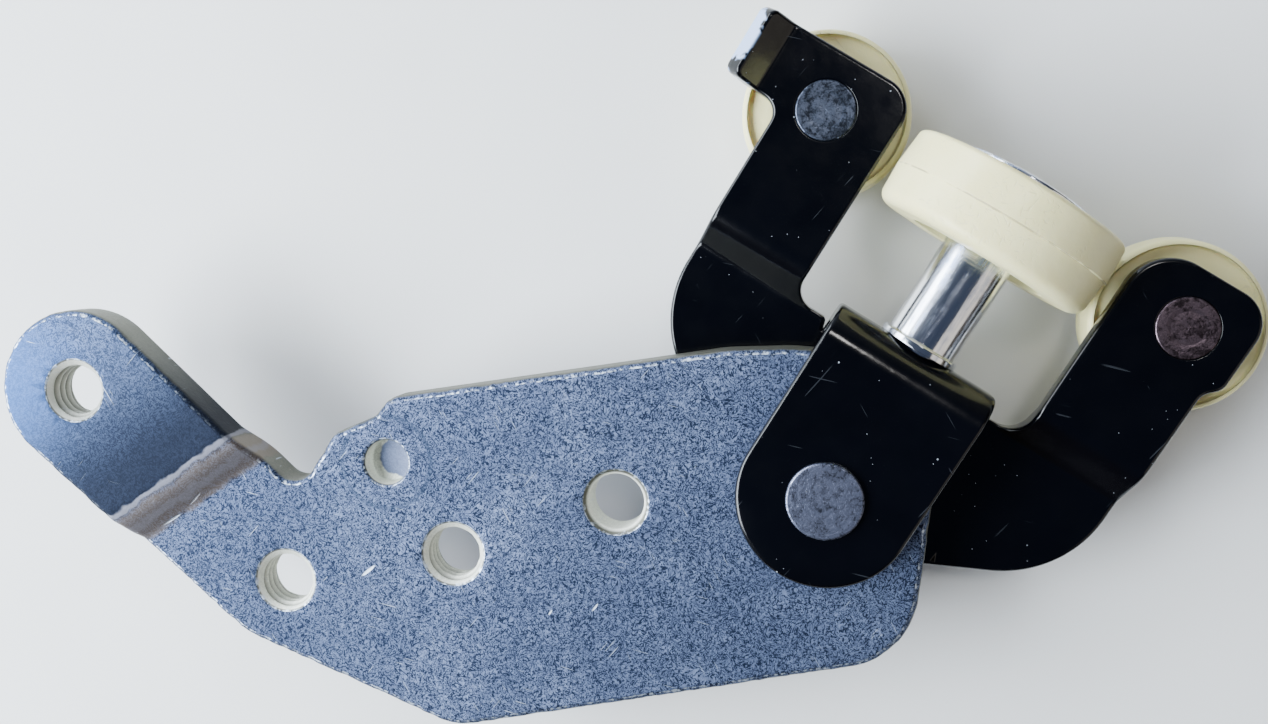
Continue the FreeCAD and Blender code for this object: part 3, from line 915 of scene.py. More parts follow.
def group(name, inputs, outputs):
    """Empty shader group, with its input and output nodes."""
    tree = bpy.data.node_groups.new(name, "ShaderNodeTree")
    for title, kind, value in inputs:
        socket = tree.interface.new_socket(title, in_out="INPUT", socket_type=kind)
        if value is not None:
            socket.default_value = value
    for title, kind in outputs:
        tree.interface.new_socket(title, in_out="OUTPUT", socket_type=kind)
    return tree, tree.nodes.new("NodeGroupInput").outputs, tree.nodes.new("NodeGroupOutput")


VECTOR = "NodeSocketVector"
FLOAT = "NodeSocketFloat"


def needle_group():
    """Short crossing strokes, as in a mottled zinc layer."""
    tree, given, out = group("crossed_needles", [("Vector", VECTOR, None), ("Scale", FLOAT, 1000.0),
                                                 ("Stretch", FLOAT, 5.0), ("Amount", FLOAT, 0.5)],
                             [("Mask", FLOAT)])
    bent = add(tree, "ShaderNodeTexNoise", None, Vector=given[0], Scale=260.0, Detail=1.0).outputs[1]
    wobble = add(tree, "ShaderNodeVectorMath", {"operation": "SCALE"}, i0=bent, Scale=0.0022)
    moved = add(tree, "ShaderNodeVectorMath", {"operation": "ADD"}, i0=given[0],
                i1=wobble.outputs[0])
    fine = times(tree, given[1], given[2])
    squeeze = add(tree, "ShaderNodeCombineXYZ", None, X=given[1], Y=fine, Z=given[1])
    low = minus(tree, 0.74, times(tree, given[3], 0.2))
    high = plus(tree, low, 0.08)
    total = None
    for k in range(5):
        turned_way = add(tree, "ShaderNodeVectorRotate", {"rotation_type": "Z_AXIS"},
                         Vector=moved.outputs[0], Angle=math.radians(17 + 36 * k))
        shifted = add(tree, "ShaderNodeVectorMath", {"operation": "MULTIPLY_ADD"},
                      i0=turned_way.outputs[0], i1=squeeze.outputs[0], i2=(3.7 * k, 1.9 * k, k))
        stroke = remap(tree, noise(tree, shifted.outputs[0], 1.0, 1.5), low, high)
        total = stroke if total is None else larger(tree, total, stroke)
    tree.links.new(total, out.inputs[0])
    return tree


def scratch_group():
    """Sparse long hairlines in three directions."""
    tree, given, out = group("hairline_scratches", [("Vector", VECTOR, None),
                                                    ("Scale", FLOAT, 120.0), ("Amount", FLOAT, 0.5)],
                             [("Mask", FLOAT)])
    total = None
    for angle, shift in ((24, 1.3), (-38, 7.7), (71, 4.1)):
        way = add(tree, "ShaderNodeVectorRotate", {"rotation_type": "Z_AXIS"}, Vector=given[0],
                  Angle=math.radians(angle))
        long = add(tree, "ShaderNodeVectorMath", {"operation": "MULTIPLY_ADD"},
                   i0=way.outputs[0], i1=(1.0, 28.0, 1.0), i2=(shift, shift, 0.0))
        line = remap(tree, noise(tree, long.outputs[0], given[1], 1.0), 0.735, 0.76)
        gate = remap(tree, noise(tree, way.outputs[0], 190.0, 0.0), 0.56, 0.62)
        line = times(tree, line, gate)
        total = line if total is None else larger(tree, total, line)
    tree.links.new(times(tree, total, given[2]), out.inputs[0])
    return tree


def cloud_group():
    """Broad soft patches, from 0 to 1."""
    tree, given, out = group("broad_patches", [("Vector", VECTOR, None), ("Scale", FLOAT, 60.0)],
                             [("Mask", FLOAT)])
    wide = noise(tree, given[0], given[1], 2.0)
    close = noise(tree, given[0], times(tree, given[1], 4.3), 2.0)
    both = plus(tree, times(tree, wide, 0.65), times(tree, close, 0.35))
    tree.links.new(remap(tree, both, 0.36, 0.64), out.inputs[0])
    return tree


def rim_group():
    """Broken bright marks along a rim, from the rim attribute: worn paint on the bracket, painted
    glints on the plate.
    """
    tree, given, out = group("rim_wear_and_glints_mask", [("Vector", VECTOR, None), ("Rim", FLOAT, 0.0),
                                            ("Scale", FLOAT, 900.0), ("Amount", FLOAT, 0.5)],
                             [("Mask", FLOAT)])
    rim_glints_and_wear = noise(tree, given[0], given[2], 3.0, 0.6)
    near = times(tree, given[1], given[3])
    mask = remap(tree, plus(tree, rim_glints_and_wear, minus(tree, near, 0.5)), 0.42, 0.62)
    tree.links.new(times(tree, mask, remap(tree, given[1], 0.02, 0.2)), out.inputs[0])
    return tree


def dust_group():
    """Tiny scattered specks."""
    tree, given, out = group("dust_specks", [("Vector", VECTOR, None), ("Scale", FLOAT, 900.0),
                                             ("Amount", FLOAT, 0.5)], [("Mask", FLOAT)])
    cells = add(tree, "ShaderNodeTexVoronoi", None, Vector=given[0], Scale=given[1])
    near = remap(tree, cells.outputs["Distance"], 0.11, 0.05)
    lot = add(tree, "ShaderNodeSeparateColor", None, Color=cells.outputs["Color"])
    picked = maths(tree, "LESS_THAN", lot.outputs[0], given[2])
    tree.links.new(times(tree, near, picked), out.inputs[0])
    return tree


def swirl_group():
    """Rings and arcs round a centre, as left by a turning or riveting tool."""
    tree, given, out = group("tool_swirl", [("Vector", VECTOR, None), ("Scale", FLOAT, 1.0)],
                             [("Mask", FLOAT)])
    parts = add(tree, "ShaderNodeSeparateXYZ", None, Vector=given[0])
    radius = add(tree, "ShaderNodeVectorMath", {"operation": "LENGTH"}, i0=given[0]).outputs[1]
    turn = maths(tree, "ARCTAN2", parts.outputs[1], parts.outputs[0])
    wind = plus(tree, times(tree, turn, 0.9), times(tree, radius, 900.0))
    polar = add(tree, "ShaderNodeCombineXYZ", None, X=times(tree, radius, 3000.0),
                Y=maths(tree, "SINE", wind), Z=maths(tree, "COSINE", wind))
    streak = noise(tree, polar.outputs[0], given[1], 3.0, 0.65)
    tree.links.new(remap(tree, streak, 0.34, 0.66), out.inputs[0])
    return tree


NEEDLES = needle_group()
SCRATCHES = scratch_group()
PATCHES = cloud_group()
RIM_WEAR_AND_GLINTS = rim_group()
DUST = dust_group()
SWIRL = swirl_group()


def use(tree, made, **inputs):
    """First output of a shader group placed in a material."""
    return add(tree, "ShaderNodeGroup", {"node_tree": made}, **inputs).outputs[0]


def start_material(name, **constants):
    """New material: its tree, its shader and its Object coordinates."""
    material = bpy.data.materials.new(name)
    material.use_nodes = True
    tree = material.node_tree
    tree.nodes.clear()
    shader = add(tree, "ShaderNodeBsdfPrincipled")
    output = add(tree, "ShaderNodeOutputMaterial")
    tree.links.new(shader.outputs[0], output.inputs[0])
    for title, value in constants.items():
        shader.inputs[title.replace("_", " ")].default_value = value
    place = add(tree, "ShaderNodeTexCoord").outputs["Object"]
    return material, tree, shader, place


def attribute(tree, name):
    """Value of a mesh attribute."""
    return add(tree, "ShaderNodeAttribute", {"attribute_name": name}).outputs["Fac"]


def bump(tree, shader, height, distance, strength=1.0):
    """Relief from a height value; distance is in metres."""
    node = add(tree, "ShaderNodeBump", None, Strength=strength, Distance=distance, Height=height)
    tree.links.new(node.outputs[0], shader.inputs["Normal"])


def near_place(tree, place, centre, radius, soft):
    """1 inside a sphere round a centre, falling to 0 over the soft distance."""
    return remap(tree, apart(tree, place, centre), radius + soft, radius)


# ------------------------------------------------------------------------ colours
ZINC_LIGHT = (0.21, 0.265, 0.42, 1)
ZINC_DULL = (0.14, 0.18, 0.3, 1)
ZINC_CRYSTAL = (0.09, 0.115, 0.195, 1)
# Painted shade: a darker patch of the face beside the left thread
ZINC_PAINTED_SHADE_PATCH = (0.05, 0.068, 0.12, 1)
# Painted shade: the whole tab darker
ZINC_TAB_PAINTED_SHADE = (0.045, 0.078, 0.165, 1)
# Painted reflection: a bluer sheen towards the tab's far end
ZINC_TAB_PAINTED_SHEEN = (0.045, 0.125, 0.34, 1)
ZINC_DIMPLE = (0.16, 0.19, 0.28, 1)
# Cut sides: bare steel's duller tone, darkened and warmed as painted shade and a painted reflection
# of brown surroundings
CUT_SIDE_SHADED = (0.17, 0.17, 0.14, 1)
BORED_METAL = (0.86, 0.87, 0.78, 1)
TORN_METAL = (0.75, 0.78, 0.7, 1)
STROKE_DARK = (0.01, 0.015, 0.032, 1)
CLAMP_MARK = (0.03, 0.045, 0.08, 1)
# Painted highlight on the rims, and real bright scrapes and dents
ZINC_SCRAPES_AND_GLINTS = (0.6, 0.68, 0.8, 1)
# Painted shade and a painted reflection of brown surroundings on the joggle's slope
JOGGLE_SHADE_AND_REFLECTION = (0.22, 0.18, 0.15, 1)
# Painted shade: the tab darkest next to the joggle
TAB_PAINTED_SHADE = (0.009, 0.011, 0.018, 1)
# Painted highlight of the joggle's bends
JOGGLE_HIGHLIGHT = (0.24, 0.24, 0.28, 1)
PIVOT_HEAD = (0.255, 0.28, 0.4)
PAINT_DEEP = (0.0005, 0.0007, 0.0015, 1)
PAINT_FAINT = (0.0009, 0.0011, 0.0022, 1)
PAINT_WORN = (0.16, 0.17, 0.2, 1)
DUST_GREY = (0.5, 0.55, 0.62, 1)
HAIRLINE_GREY = (0.3, 0.34, 0.4, 1)
# Bare metal at the lip's cut end; its bright blue-white is partly a painted highlight
BARE_LIP_AND_SHEEN = (0.38, 0.5, 0.75, 1)
NYLON_LIGHT = (0.90, 0.84, 0.46, 1)
NYLON_DEEP = (0.84, 0.775, 0.39, 1)
NYLON_SPECK = (0.22, 0.17, 0.11, 1)
NYLON_SCUFFED = (0.6, 0.55, 0.36, 1)
NYLON_SEAM = (0.3, 0.25, 0.14, 1)
STEEL_BRIGHT = (0.93, 0.94, 0.97, 1)
# Darker lengthwise smears, tinted blue as a painted reflection of the cool light
STEEL_SMEARS_BLUE_SHEEN = (0.36, 0.43, 0.62, 1)
SKY_BROWN = (0.05, 0.04, 0.029, 1)
SKY_COOL = (0.66, 0.78, 0.96, 1)
SKY_OVERHEAD = (0.04, 0.055, 0.095, 1)


# ---------------------------------------------------------------------- materials
def dent_mask(tree, place, x, y, angle, length, width):
    """1 inside a long narrow dent of the plate's face, in mm and degrees."""
    from_middle = add(tree, "ShaderNodeVectorMath", {"operation": "SUBTRACT"}, i0=place,
                      i1=(x * MM, y * MM, 0.0)).outputs[0]
    lined_up = add(tree, "ShaderNodeVectorRotate", {"rotation_type": "Z_AXIS"},
                   Vector=from_middle, Angle=-math.radians(angle)).outputs[0]
    unit = add(tree, "ShaderNodeVectorMath", {"operation": "MULTIPLY"}, i0=lined_up,
               i1=(2 / (length * MM), 2 / (width * MM), 0.0)).outputs[0]
    away = add(tree, "ShaderNodeVectorMath", {"operation": "LENGTH"}, i0=unit).outputs["Value"]
    return remap(tree, away, 1.1, 0.6)


def beyond_joggle(tree, place):
    """Metres past the joggle's foot towards the tab, and the raggedness in them."""
    angle = math.radians(JOGGLE_ANGLE)
    way = (-math.sin(angle), math.cos(angle), 0.0)
    foot = (way[0] * JOGGLE_START[0] + way[1] * JOGGLE_START[1]) * MM
    ragged = times(tree, minus(tree, noise(tree, place, 420.0), 0.5), 0.0016)
    return plus(tree, minus(tree, dot(tree, place, way), foot), ragged), ragged


def dark_marks(tree, place, patches, cut, on_tab, in_dimple, tab_sheen):
    """Dense dark strokes of the zinc, thinner on the cut sides, tab and dimple, and under the
    painted sheen at the tab's end.
    """
    strokes = use(tree, NEEDLES, Vector=place, Scale=1900.0, Stretch=3.2, Amount=0.84)
    wide = use(tree, NEEDLES, Vector=place, Scale=800.0, Stretch=4.0, Amount=0.5)
    clumps = times(tree, wide, remap(tree, patches, 0.2, 0.9, 0.15, 0.6))
    dark = larger(tree, times(tree, strokes, 0.95), clumps)
    hairs = use(tree, SCRATCHES, Vector=place, Scale=95.0, Amount=0.75)
    dark = larger(tree, dark, hairs)
    for mask, full, left in ((cut, 0.5, 0.15), (on_tab, 1.0, 0.8), (in_dimple, 1.0, 0.2),
                             (tab_sheen, 1.0, 0.4)):
        dark = times(tree, dark, remap(tree, mask, 0.0, full, 1.0, left))
    return dark


def bright_marks(tree, place):
    """Painted glints along the rims, bright hairlines and the few larger dents."""
    rim_glints_and_wear = use(tree, RIM_WEAR_AND_GLINTS, Vector=place, Rim=attribute(tree, "rim"), Scale=1300.0,
                Amount=0.53)
    moved = add(tree, "ShaderNodeMapping", None, Vector=place)
    moved.inputs["Location"].default_value = HAIRLINE_SHIFT
    hairs = use(tree, SCRATCHES, Vector=moved.outputs[0], Scale=190.0, Amount=0.45)
    bright = larger(tree, rim_glints_and_wear, hairs)
    for dent in DENTS:
        bright = larger(tree, bright, dent_mask(tree, place, *dent))
    return bright


def zinc_plate_material():
    """Mottled blue-grey zinc with painted rim glints and painted shade and sheen on tab and joggle.
    """
    material, tree, shader, place = start_material("zinc_mottled")
    cut = attribute(tree, "wall")
    bored = remap(tree, cut, 0.6, 1.0)
    along, ragged = beyond_joggle(tree, place)
    on_tab = remap(tree, along, 0.004, 0.0055)
    # Painted shade and a painted brown reflection on the joggle's slope
    joggle_slope_shade = times(tree, remap(tree, along, -0.0006, 0.0004),
                     remap(tree, along, 0.0052, 0.0036))
    # Painted shade over the tab, full next to the joggle, fading towards the tab's end
    tab_painted_shade = times(tree, on_tab, remap(tree, along, 0.03, 0.008))
    tab_sheen = near_place(tree, place, TAB_SHEEN_CENTRE, 0.004, 0.016)
    in_dimple = near_place(tree, place, DOWEL_FLOOR, (DOWEL_R - 0.1) * MM, 0.0002)
    from_clean = plus(tree, apart(tree, place, DOWEL_TORN), ragged)
    torn_floor = times(tree, remap(tree, from_clean, 0.0026, 0.0029), in_dimple)
    clamp_ring = minus(tree,
                       near_place(tree, place, DOWEL_FACE, (CLAMP_RING_R + 0.15) * MM, 0.0003),
                       near_place(tree, place, DOWEL_FACE, (CLAMP_RING_R - 0.45) * MM, 0.0003))
    patches = use(tree, PATCHES, Vector=place, Scale=70.0)
    crystal = remap(tree, noise(tree, place, 1100.0, 5.0, 0.75), 0.4, 0.58)
    dark = dark_marks(tree, place, patches, cut, on_tab, in_dimple, tab_sheen)
    bright = bright_marks(tree, place)

    tone = mix(tree, patches, ZINC_LIGHT, ZINC_DULL)
    tone = coated(tree, tone, (
        (crystal, 0.7, ZINC_CRYSTAL),
        # painted shade: a darker patch beside the left thread
        (near_place(tree, place, SHADE_PATCH_CENTRE, 0.014, 0.022), 0.5, ZINC_PAINTED_SHADE_PATCH),
        # painted shade: the whole tab darker
        (on_tab, 0.6, ZINC_TAB_PAINTED_SHADE),
        # painted reflection: a bluer sheen at the tab's far end
        (tab_sheen, 0.6, ZINC_TAB_PAINTED_SHEEN),
        (in_dimple, 0.8, ZINC_DIMPLE),
        # cut sides: duller bare steel with painted shade and a painted brown reflection
        (remap(tree, cut, 0.0, 0.5), 1.0, CUT_SIDE_SHADED),
        (bored, 1.0, BORED_METAL),
        (torn_floor, 1.0, TORN_METAL),
        (dark, 1.0, STROKE_DARK),
        (clamp_ring, 0.5, CLAMP_MARK),
        # painted glints along the rims, with real bright scrapes and dents
        (bright, 1.0, ZINC_SCRAPES_AND_GLINTS),
        # painted shade and brown reflection on the joggle's slope
        (joggle_slope_shade, 0.6, JOGGLE_SHADE_AND_REFLECTION),
        # painted shade: the tab darkest next to the joggle
        (tab_painted_shade, 0.92, TAB_PAINTED_SHADE),
    ))
    # Painted highlights: light lines along the joggle's bends
    for middle, width, strength in JOGGLE_HIGHLIGHT_LINES:
        off = maths(tree, "ABSOLUTE", minus(tree, along, middle * MM))
        streak = remap(tree, off, width * MM, width * 0.3 * MM)
        tone = coated(tree, tone, ((streak, strength, JOGGLE_HIGHLIGHT),))
    tree.links.new(tone, shader.inputs["Base Color"])
    tree.links.new(remap(tree, bored, 0.0, 1.0, 1.0, 0.45), shader.inputs["Metallic"])
    rough = minus(tree, remap(tree, dark, 0.0, 1.0, 0.6, 0.64), times(tree, bright, 0.14))
    tree.links.new(rough, shader.inputs["Roughness"])

    grain = noise(tree, place, 1500.0, 3.0)
    torn_side = times(tree, noise(tree, place, 700.0, 4.0, 0.65), cut)
    height = minus(tree, times(tree, grain, 0.3), times(tree, dark, 0.08))
    height = plus(tree, height, times(tree, torn_side, 2.2))
    height = plus(tree, height, times(tree, bright, -0.4))
    bump(tree, shader, height, 0.00006)
    return material


def zinc_pin_material(name, centre, tint, strength, ring):
    """Zinc with tool swirls round the given centre."""
    material, tree, shader, place = start_material(name, Metallic=1.0)
    away = add(tree, "ShaderNodeMapping", None, Vector=place)
    away.inputs["Location"].default_value = tuple(-value for value in centre)
    swirl = use(tree, SWIRL, Vector=away.outputs[0], Scale=1.4)
    strokes = use(tree, NEEDLES, Vector=place, Scale=1500.0, Stretch=2.5, Amount=0.75)
    dark = plus(tree, times(tree, strokes, 0.3), times(tree, swirl, 0.35 * strength))
    mottle = remap(tree, noise(tree, place, 800.0, 4.0, 0.7), 0.43, 0.57)
    dark = plus(tree, dark, times(tree, mottle, 0.6), clamp=True)
    radius = add(tree, "ShaderNodeVectorMath", {"operation": "LENGTH"}, i0=away.outputs[0])
    off_ring = minus(tree, radius.outputs["Value"], PIN_RING_R * MM)
    off_ring = remap(tree, maths(tree, "ABSOLUTE", off_ring), 0.0014, 0.0003)
    dark = larger(tree, dark, times(tree, off_ring, ring))
    deep = tuple(value * 0.12 for value in tint) + (1,)
    tree.links.new(mix(tree, dark, tint + (1,), deep), shader.inputs["Base Color"])
    tree.links.new(remap(tree, dark, 0.0, 1.0, 0.36, 0.48), shader.inputs["Roughness"])
    bump(tree, shader, plus(tree, swirl, times(tree, strokes, -0.5)), 0.000012)
    return material


def black_paint_material():
    """Glossy black dipped paint with a faint ripple, dust and worn rims."""
    material, tree, shader, place = start_material("black_dipped_paint", Metallic=0.0)
    shader.inputs["Specular IOR Level"].default_value = 0.38
    dust = use(tree, DUST, Vector=place, Scale=720.0, Amount=0.035)
    fine = use(tree, DUST, Vector=place, Scale=1500.0, Amount=0.07)
    specks = larger(tree, dust, fine)
    patches = use(tree, PATCHES, Vector=place, Scale=45.0)
    rim = attribute(tree, "rim")
    worn = use(tree, RIM_WEAR_AND_GLINTS, Vector=place, Rim=rim, Scale=700.0, Amount=0.32)
    scratch = use(tree, SCRATCHES, Vector=place, Scale=90.0, Amount=0.6)
    # Bare metal at the lip's cut end, painted bright blue-white: part of it is a painted highlight
    lip_end = carriage_matrix() @ Vector((-LIP_BEND - LIP_LENGTH, (LIP_LOW + ARM_TOP) / 2, 4.5))
    bare_and_sheen = times(tree, attribute(tree, "wall"),
                 near_place(tree, place, tuple(lip_end), 0.0052, 0.0008))
    bare_and_sheen = times(tree, bare_and_sheen, remap(tree, noise(tree, place, 300.0, 3.0), 0.44, 0.5))
    tone = coated(tree, mix(tree, patches, PAINT_DEEP, PAINT_FAINT), (
        (worn, 0.35, PAINT_WORN),
        (specks, 0.6, DUST_GREY),
        (scratch, 0.1, HAIRLINE_GREY),
        (bare_and_sheen, 1.0, BARE_LIP_AND_SHEEN),
    ))
    tree.links.new(tone, shader.inputs["Base Color"])
    rough = remap(tree, noise(tree, place, 240.0, 3.0), 0.3, 0.7, 0.13, 0.18)
    rough = plus(tree, rough, times(tree, specks, 0.3))
    rough = plus(tree, rough, times(tree, scratch, 0.1))
    tree.links.new(rough, shader.inputs["Roughness"])
    ripple = plus(tree, noise(tree, place, 320.0, 1.0),
                  times(tree, noise(tree, place, 1400.0, 2.0), 0.25))
    ripple = plus(tree, ripple, times(tree, specks, 0.5))
    bump(tree, shader, ripple, 0.00003)
    return material


def nylon_material(name, parting):
    """Ivory nylon with a satin moulded skin, faint scuffs and specks.

    With parting, a broken dark line runs where the load roller's moulds met.
    """
    material, tree, shader, place = start_material(name, Metallic=0.0)
    shader.inputs["Subsurface Weight"].default_value = 0.2
    shader.inputs["Subsurface Radius"].default_value = (0.004, 0.0032, 0.0014)
    shader.inputs["Subsurface Scale"].default_value = 0.4
    patches = use(tree, PATCHES, Vector=place, Scale=55.0)
    specks = use(tree, DUST, Vector=place, Scale=330.0, Amount=0.03)
    scuff = use(tree, NEEDLES, Vector=place, Scale=700.0, Stretch=4.0, Amount=0.45)
    gate = remap(tree, noise(tree, place, 110.0, 1.0), 0.52, 0.62)
    scuff = times(tree, scuff, gate)
    tone = coated(tree, mix(tree, patches, NYLON_LIGHT, NYLON_DEEP),
                  ((specks, 0.6, NYLON_SPECK), (scuff, 0.3, NYLON_SCUFFED)))
    height = plus(tree, noise(tree, place, 900.0, 2.0), times(tree, scuff, -0.6))
    if parting:
        line = load_matrix(LOAD_MIDDLE).translation.dot(LOAD_AXIS)
        along = dot(tree, place, tuple(LOAD_AXIS))
        off_line = maths(tree, "ABSOLUTE", minus(tree, along, line))
        seam = remap(tree, off_line, 0.00014, 0.00005)
        seam = times(tree, seam, remap(tree, noise(tree, place, 260.0, 3.0), 0.4, 0.56))
        tone = coated(tree, tone, ((seam, 0.75, NYLON_SEAM),))
        height = plus(tree, height, times(tree, seam, -1.5))
    tree.links.new(tone, shader.inputs["Base Color"])
    rough = remap(tree, noise(tree, place, 160.0, 3.0), 0.3, 0.7, 0.3, 0.44)
    rough = plus(tree, rough, times(tree, scuff, 0.12))
    tree.links.new(rough, shader.inputs["Roughness"])
    bump(tree, shader, height, 0.000035)
    return material


def bright_steel_material():
    """Turned bright steel with lengthwise smears, their blue tint a painted reflection, and fine
    tool rings.
    """
    material, tree, shader, place = start_material("bright_turned_steel", Metallic=1.0)
    along = dot(tree, place, tuple(LOAD_AXIS))
    lengthwise = add(tree, "ShaderNodeVectorMath", {"operation": "SCALE"},
                     i0=tuple(LOAD_AXIS), Scale=along).outputs[0]
    spoke = add(tree, "ShaderNodeVectorMath", {"operation": "SUBTRACT"}, i0=place,
                i1=lengthwise).outputs[0]
    short = add(tree, "ShaderNodeVectorMath", {"operation": "SCALE"}, i0=lengthwise,
                Scale=0.12).outputs[0]
    smear_place = add(tree, "ShaderNodeVectorMath", {"operation": "ADD"}, i0=spoke, i1=short)
    smear = remap(tree, noise(tree, smear_place.outputs[0], 900.0, 3.0, 0.6), 0.38, 0.66)
    rings = noise(tree, add(tree, "ShaderNodeCombineXYZ", None, X=along).outputs[0], 9000.0, 2.0)
    patches = use(tree, PATCHES, Vector=place, Scale=160.0)
    dark = times(tree, smear, remap(tree, patches, 0.0, 1.0, 0.4, 1.0))
    # smears darker, their blue tint a painted reflection of the cool light
    tree.links.new(mix(tree, dark, STEEL_BRIGHT, STEEL_SMEARS_BLUE_SHEEN), shader.inputs["Base Color"])
    tree.links.new(remap(tree, dark, 0.0, 1.0, 0.13, 0.3), shader.inputs["Roughness"])
    bump(tree, shader, plus(tree, rings, times(tree, smear, 0.6)), 0.00001)
    return material


def inner_material(name, metal, light, deep, smooth, dull, scale):
    """Finish of a hidden bearing or bush part: fine grain over two tones."""
    material, tree, shader, place = start_material(name, Metallic=metal)
    patches = use(tree, PATCHES, Vector=place, Scale=scale)
    grain = noise(tree, place, scale * 12, 3.0)
    mask = times(tree, patches, remap(tree, grain, 0.35, 0.65, 0.5, 1.0))
    tree.links.new(mix(tree, mask, light, deep), shader.inputs["Base Color"])
    tree.links.new(remap(tree, mask, 0.0, 1.0, smooth, dull), shader.inputs["Roughness"])
    bump(tree, shader, grain, 0.00001)
    return material


def floor_material():
    """Plain pale floor."""
    material, tree, shader, place = start_material("pale_floor", Roughness=0.7)
    patches = use(tree, PATCHES, Vector=place, Scale=12.0)
    tree.links.new(mix(tree, patches, (0.83, 0.83, 0.82, 1), (0.8, 0.8, 0.79, 1)),
                   shader.inputs["Base Color"])
    return material


# -------------------------------------------------------- pieces made by rule: balls
def ball_ring_tree(material):
    """Geometry Nodes: balls evenly spaced on a circle."""
    tree = bpy.data.node_groups.new("ball_ring", "GeometryNodeTree")
    for title, kind in (("Pitch Radius", FLOAT), ("Ball Radius", FLOAT), ("Count", "NodeSocketInt")):
        tree.interface.new_socket(title, in_out="INPUT", socket_type=kind)
    tree.interface.new_socket("Geometry", in_out="OUTPUT", socket_type="NodeSocketGeometry")
    given = tree.nodes.new("NodeGroupInput").outputs
    out = tree.nodes.new("NodeGroupOutput")
    circle = add(tree, "GeometryNodeMeshCircle", None, Vertices=given[2], Radius=given[0])
    ball = add(tree, "GeometryNodeMeshUVSphere", None, Segments=32, Rings=20, Radius=given[1])
    smooth = add(tree, "GeometryNodeSetShadeSmooth", None, Geometry=ball.outputs[0])
    spread = add(tree, "GeometryNodeInstanceOnPoints", None, Points=circle.outputs[0],
                 Instance=smooth.outputs[0])
    real = add(tree, "GeometryNodeRealizeInstances", None, Geometry=spread.outputs[0])
    painted = add(tree, "GeometryNodeSetMaterial", None, Geometry=real.outputs[0],
                  Material=material)
    tree.links.new(painted.outputs[0], out.inputs[0])
    return tree


def grown(name, tree, values, base=None):
    """Plain mesh that a Geometry Nodes tree makes with those input values."""
    holder = bpy.data.objects.new(name, base or bpy.data.meshes.new(name + "_seed"))
    bpy.context.scene.collection.objects.link(holder)
    maker = holder.modifiers.new("maker", "NODES")
    maker.node_group = tree
    for socket in tree.interface.items_tree:
        if socket.in_out == "INPUT" and socket.name in values:
            maker[socket.identifier] = values[socket.name]
    depsgraph = bpy.context.evaluated_depsgraph_get()
    mesh = bpy.data.meshes.new_from_object(holder.evaluated_get(depsgraph))
    bpy.data.objects.remove(holder)
    mesh.name = name
    return mesh


def make_balls(name, tree, bearing, matrix):
    """The balls of one bearing, as one plain mesh in place."""
    mesh = grown(name, tree, {"Pitch Radius": bearing["pitch"], "Ball Radius": bearing["ball"],
                              "Count": BALL_COUNT})
    mesh.transform(matrix)
    piece = bpy.data.objects.new(name, mesh)
    bpy.context.scene.collection.objects.link(piece)
    return piece


# ------------------------------------------------------------------------- assembly
def dress(piece, body, node, material=None):
    """Put a made piece on its body in place of its CAD node."""
    if material:
        piece.data.materials.clear()
        piece.data.materials.append(material)
    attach(piece, body)
    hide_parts(node)


def finish_node(node, material):
    """Give a kept CAD node its own finish."""
    slots = frame["nodes"][node].material_slots
    for place in slots:
        place.material = material


ZINC = zinc_plate_material()
BLACK = black_paint_material()
NYLON = nylon_material("ivory_nylon_moulded", False)
NYLON_PARTED = nylon_material("ivory_nylon_parted", True)
BRIGHT = bright_steel_material()
BEARING = inner_material("ground_bearing_steel", 1.0, (0.74, 0.75, 0.77, 1),
                         (0.55, 0.56, 0.59, 1), 0.12, 0.24, 400.0)
SHIELD = inner_material("pressed_shield_steel", 1.0, (0.55, 0.55, 0.57, 1),
                        (0.4, 0.4, 0.43, 1), 0.28, 0.42, 500.0)
CAGE = inner_material("moulded_cage", 0.0, (0.2, 0.16, 0.12, 1), (0.12, 0.1, 0.08, 1),
                      0.4, 0.55, 500.0)
BRONZE = inner_material("sintered_bronze", 1.0, (0.6, 0.42, 0.22, 1), (0.38, 0.26, 0.14, 1),
                        0.35, 0.6, 700.0)

dress(make_plate(), "plate", "mounting_plate", ZINC)
dress(make_bracket(), "carriage", "carriage_bracket", BLACK)
pin_face = (PIVOT.x, PIVOT.y, 0.0)
dress(make_pivot_pin(), "carriage", "pivot_pin",
      zinc_pin_material("zinc_pivot_head", pin_face, PIVOT_HEAD, 0.4, 0.0))
dress(make_load_shaft(), "carriage", "load_roller_shaft", BRIGHT)
dress(make_load_washer(), "carriage", "load_roller_washer", BRIGHT)
dress(make_load_tyre(), "load_roller", "load_roller_tyre", NYLON_PARTED)

balls = ball_ring_tree(BEARING)
dress(make_balls("load_bearing_ball_set", balls, LOAD_BEARING, load_matrix(LOAD_MIDDLE)),
      "load_cage", "load_bearing_balls")
# Tint and strength of the dark ring of each guide pin's riveted face.
# The right face's warmer tint is a painted reflection of brown surroundings.
RIVET_FACES = {"left": ((0.12, 0.142, 0.2), 0.5), "right": ((0.18, 0.133, 0.158), 0.2)}
for side, (tint, ring) in RIVET_FACES.items():
    centre = JOINTS[side + "_roller_spin"]["pos_m"]
    swirled = zinc_pin_material("zinc_" + side + "_rivet", centre, tint, 1.0, ring)
    dress(make_guide_pin(side), "carriage", side + "_guide_pin", swirled)
    dress(make_guide_tyre(side), side + "_roller", side + "_guide_tyre", NYLON)
    dress(make_balls(side + "_guide_ball_set", balls, GUIDE_BEARING, guide_matrix(side)),
          side + "_cage", side + "_guide_bearing_balls")
    finish_node(side + "_guide_spacer", SHIELD)
for bearing in ("load_bearing", "left_guide_bearing", "right_guide_bearing"):
    finish_node(bearing + "_inner_ring", BEARING)
    finish_node(bearing + "_outer_ring", BEARING)
    finish_node(bearing + "_shields", SHIELD)
    finish_node(bearing + "_cage", CAGE)
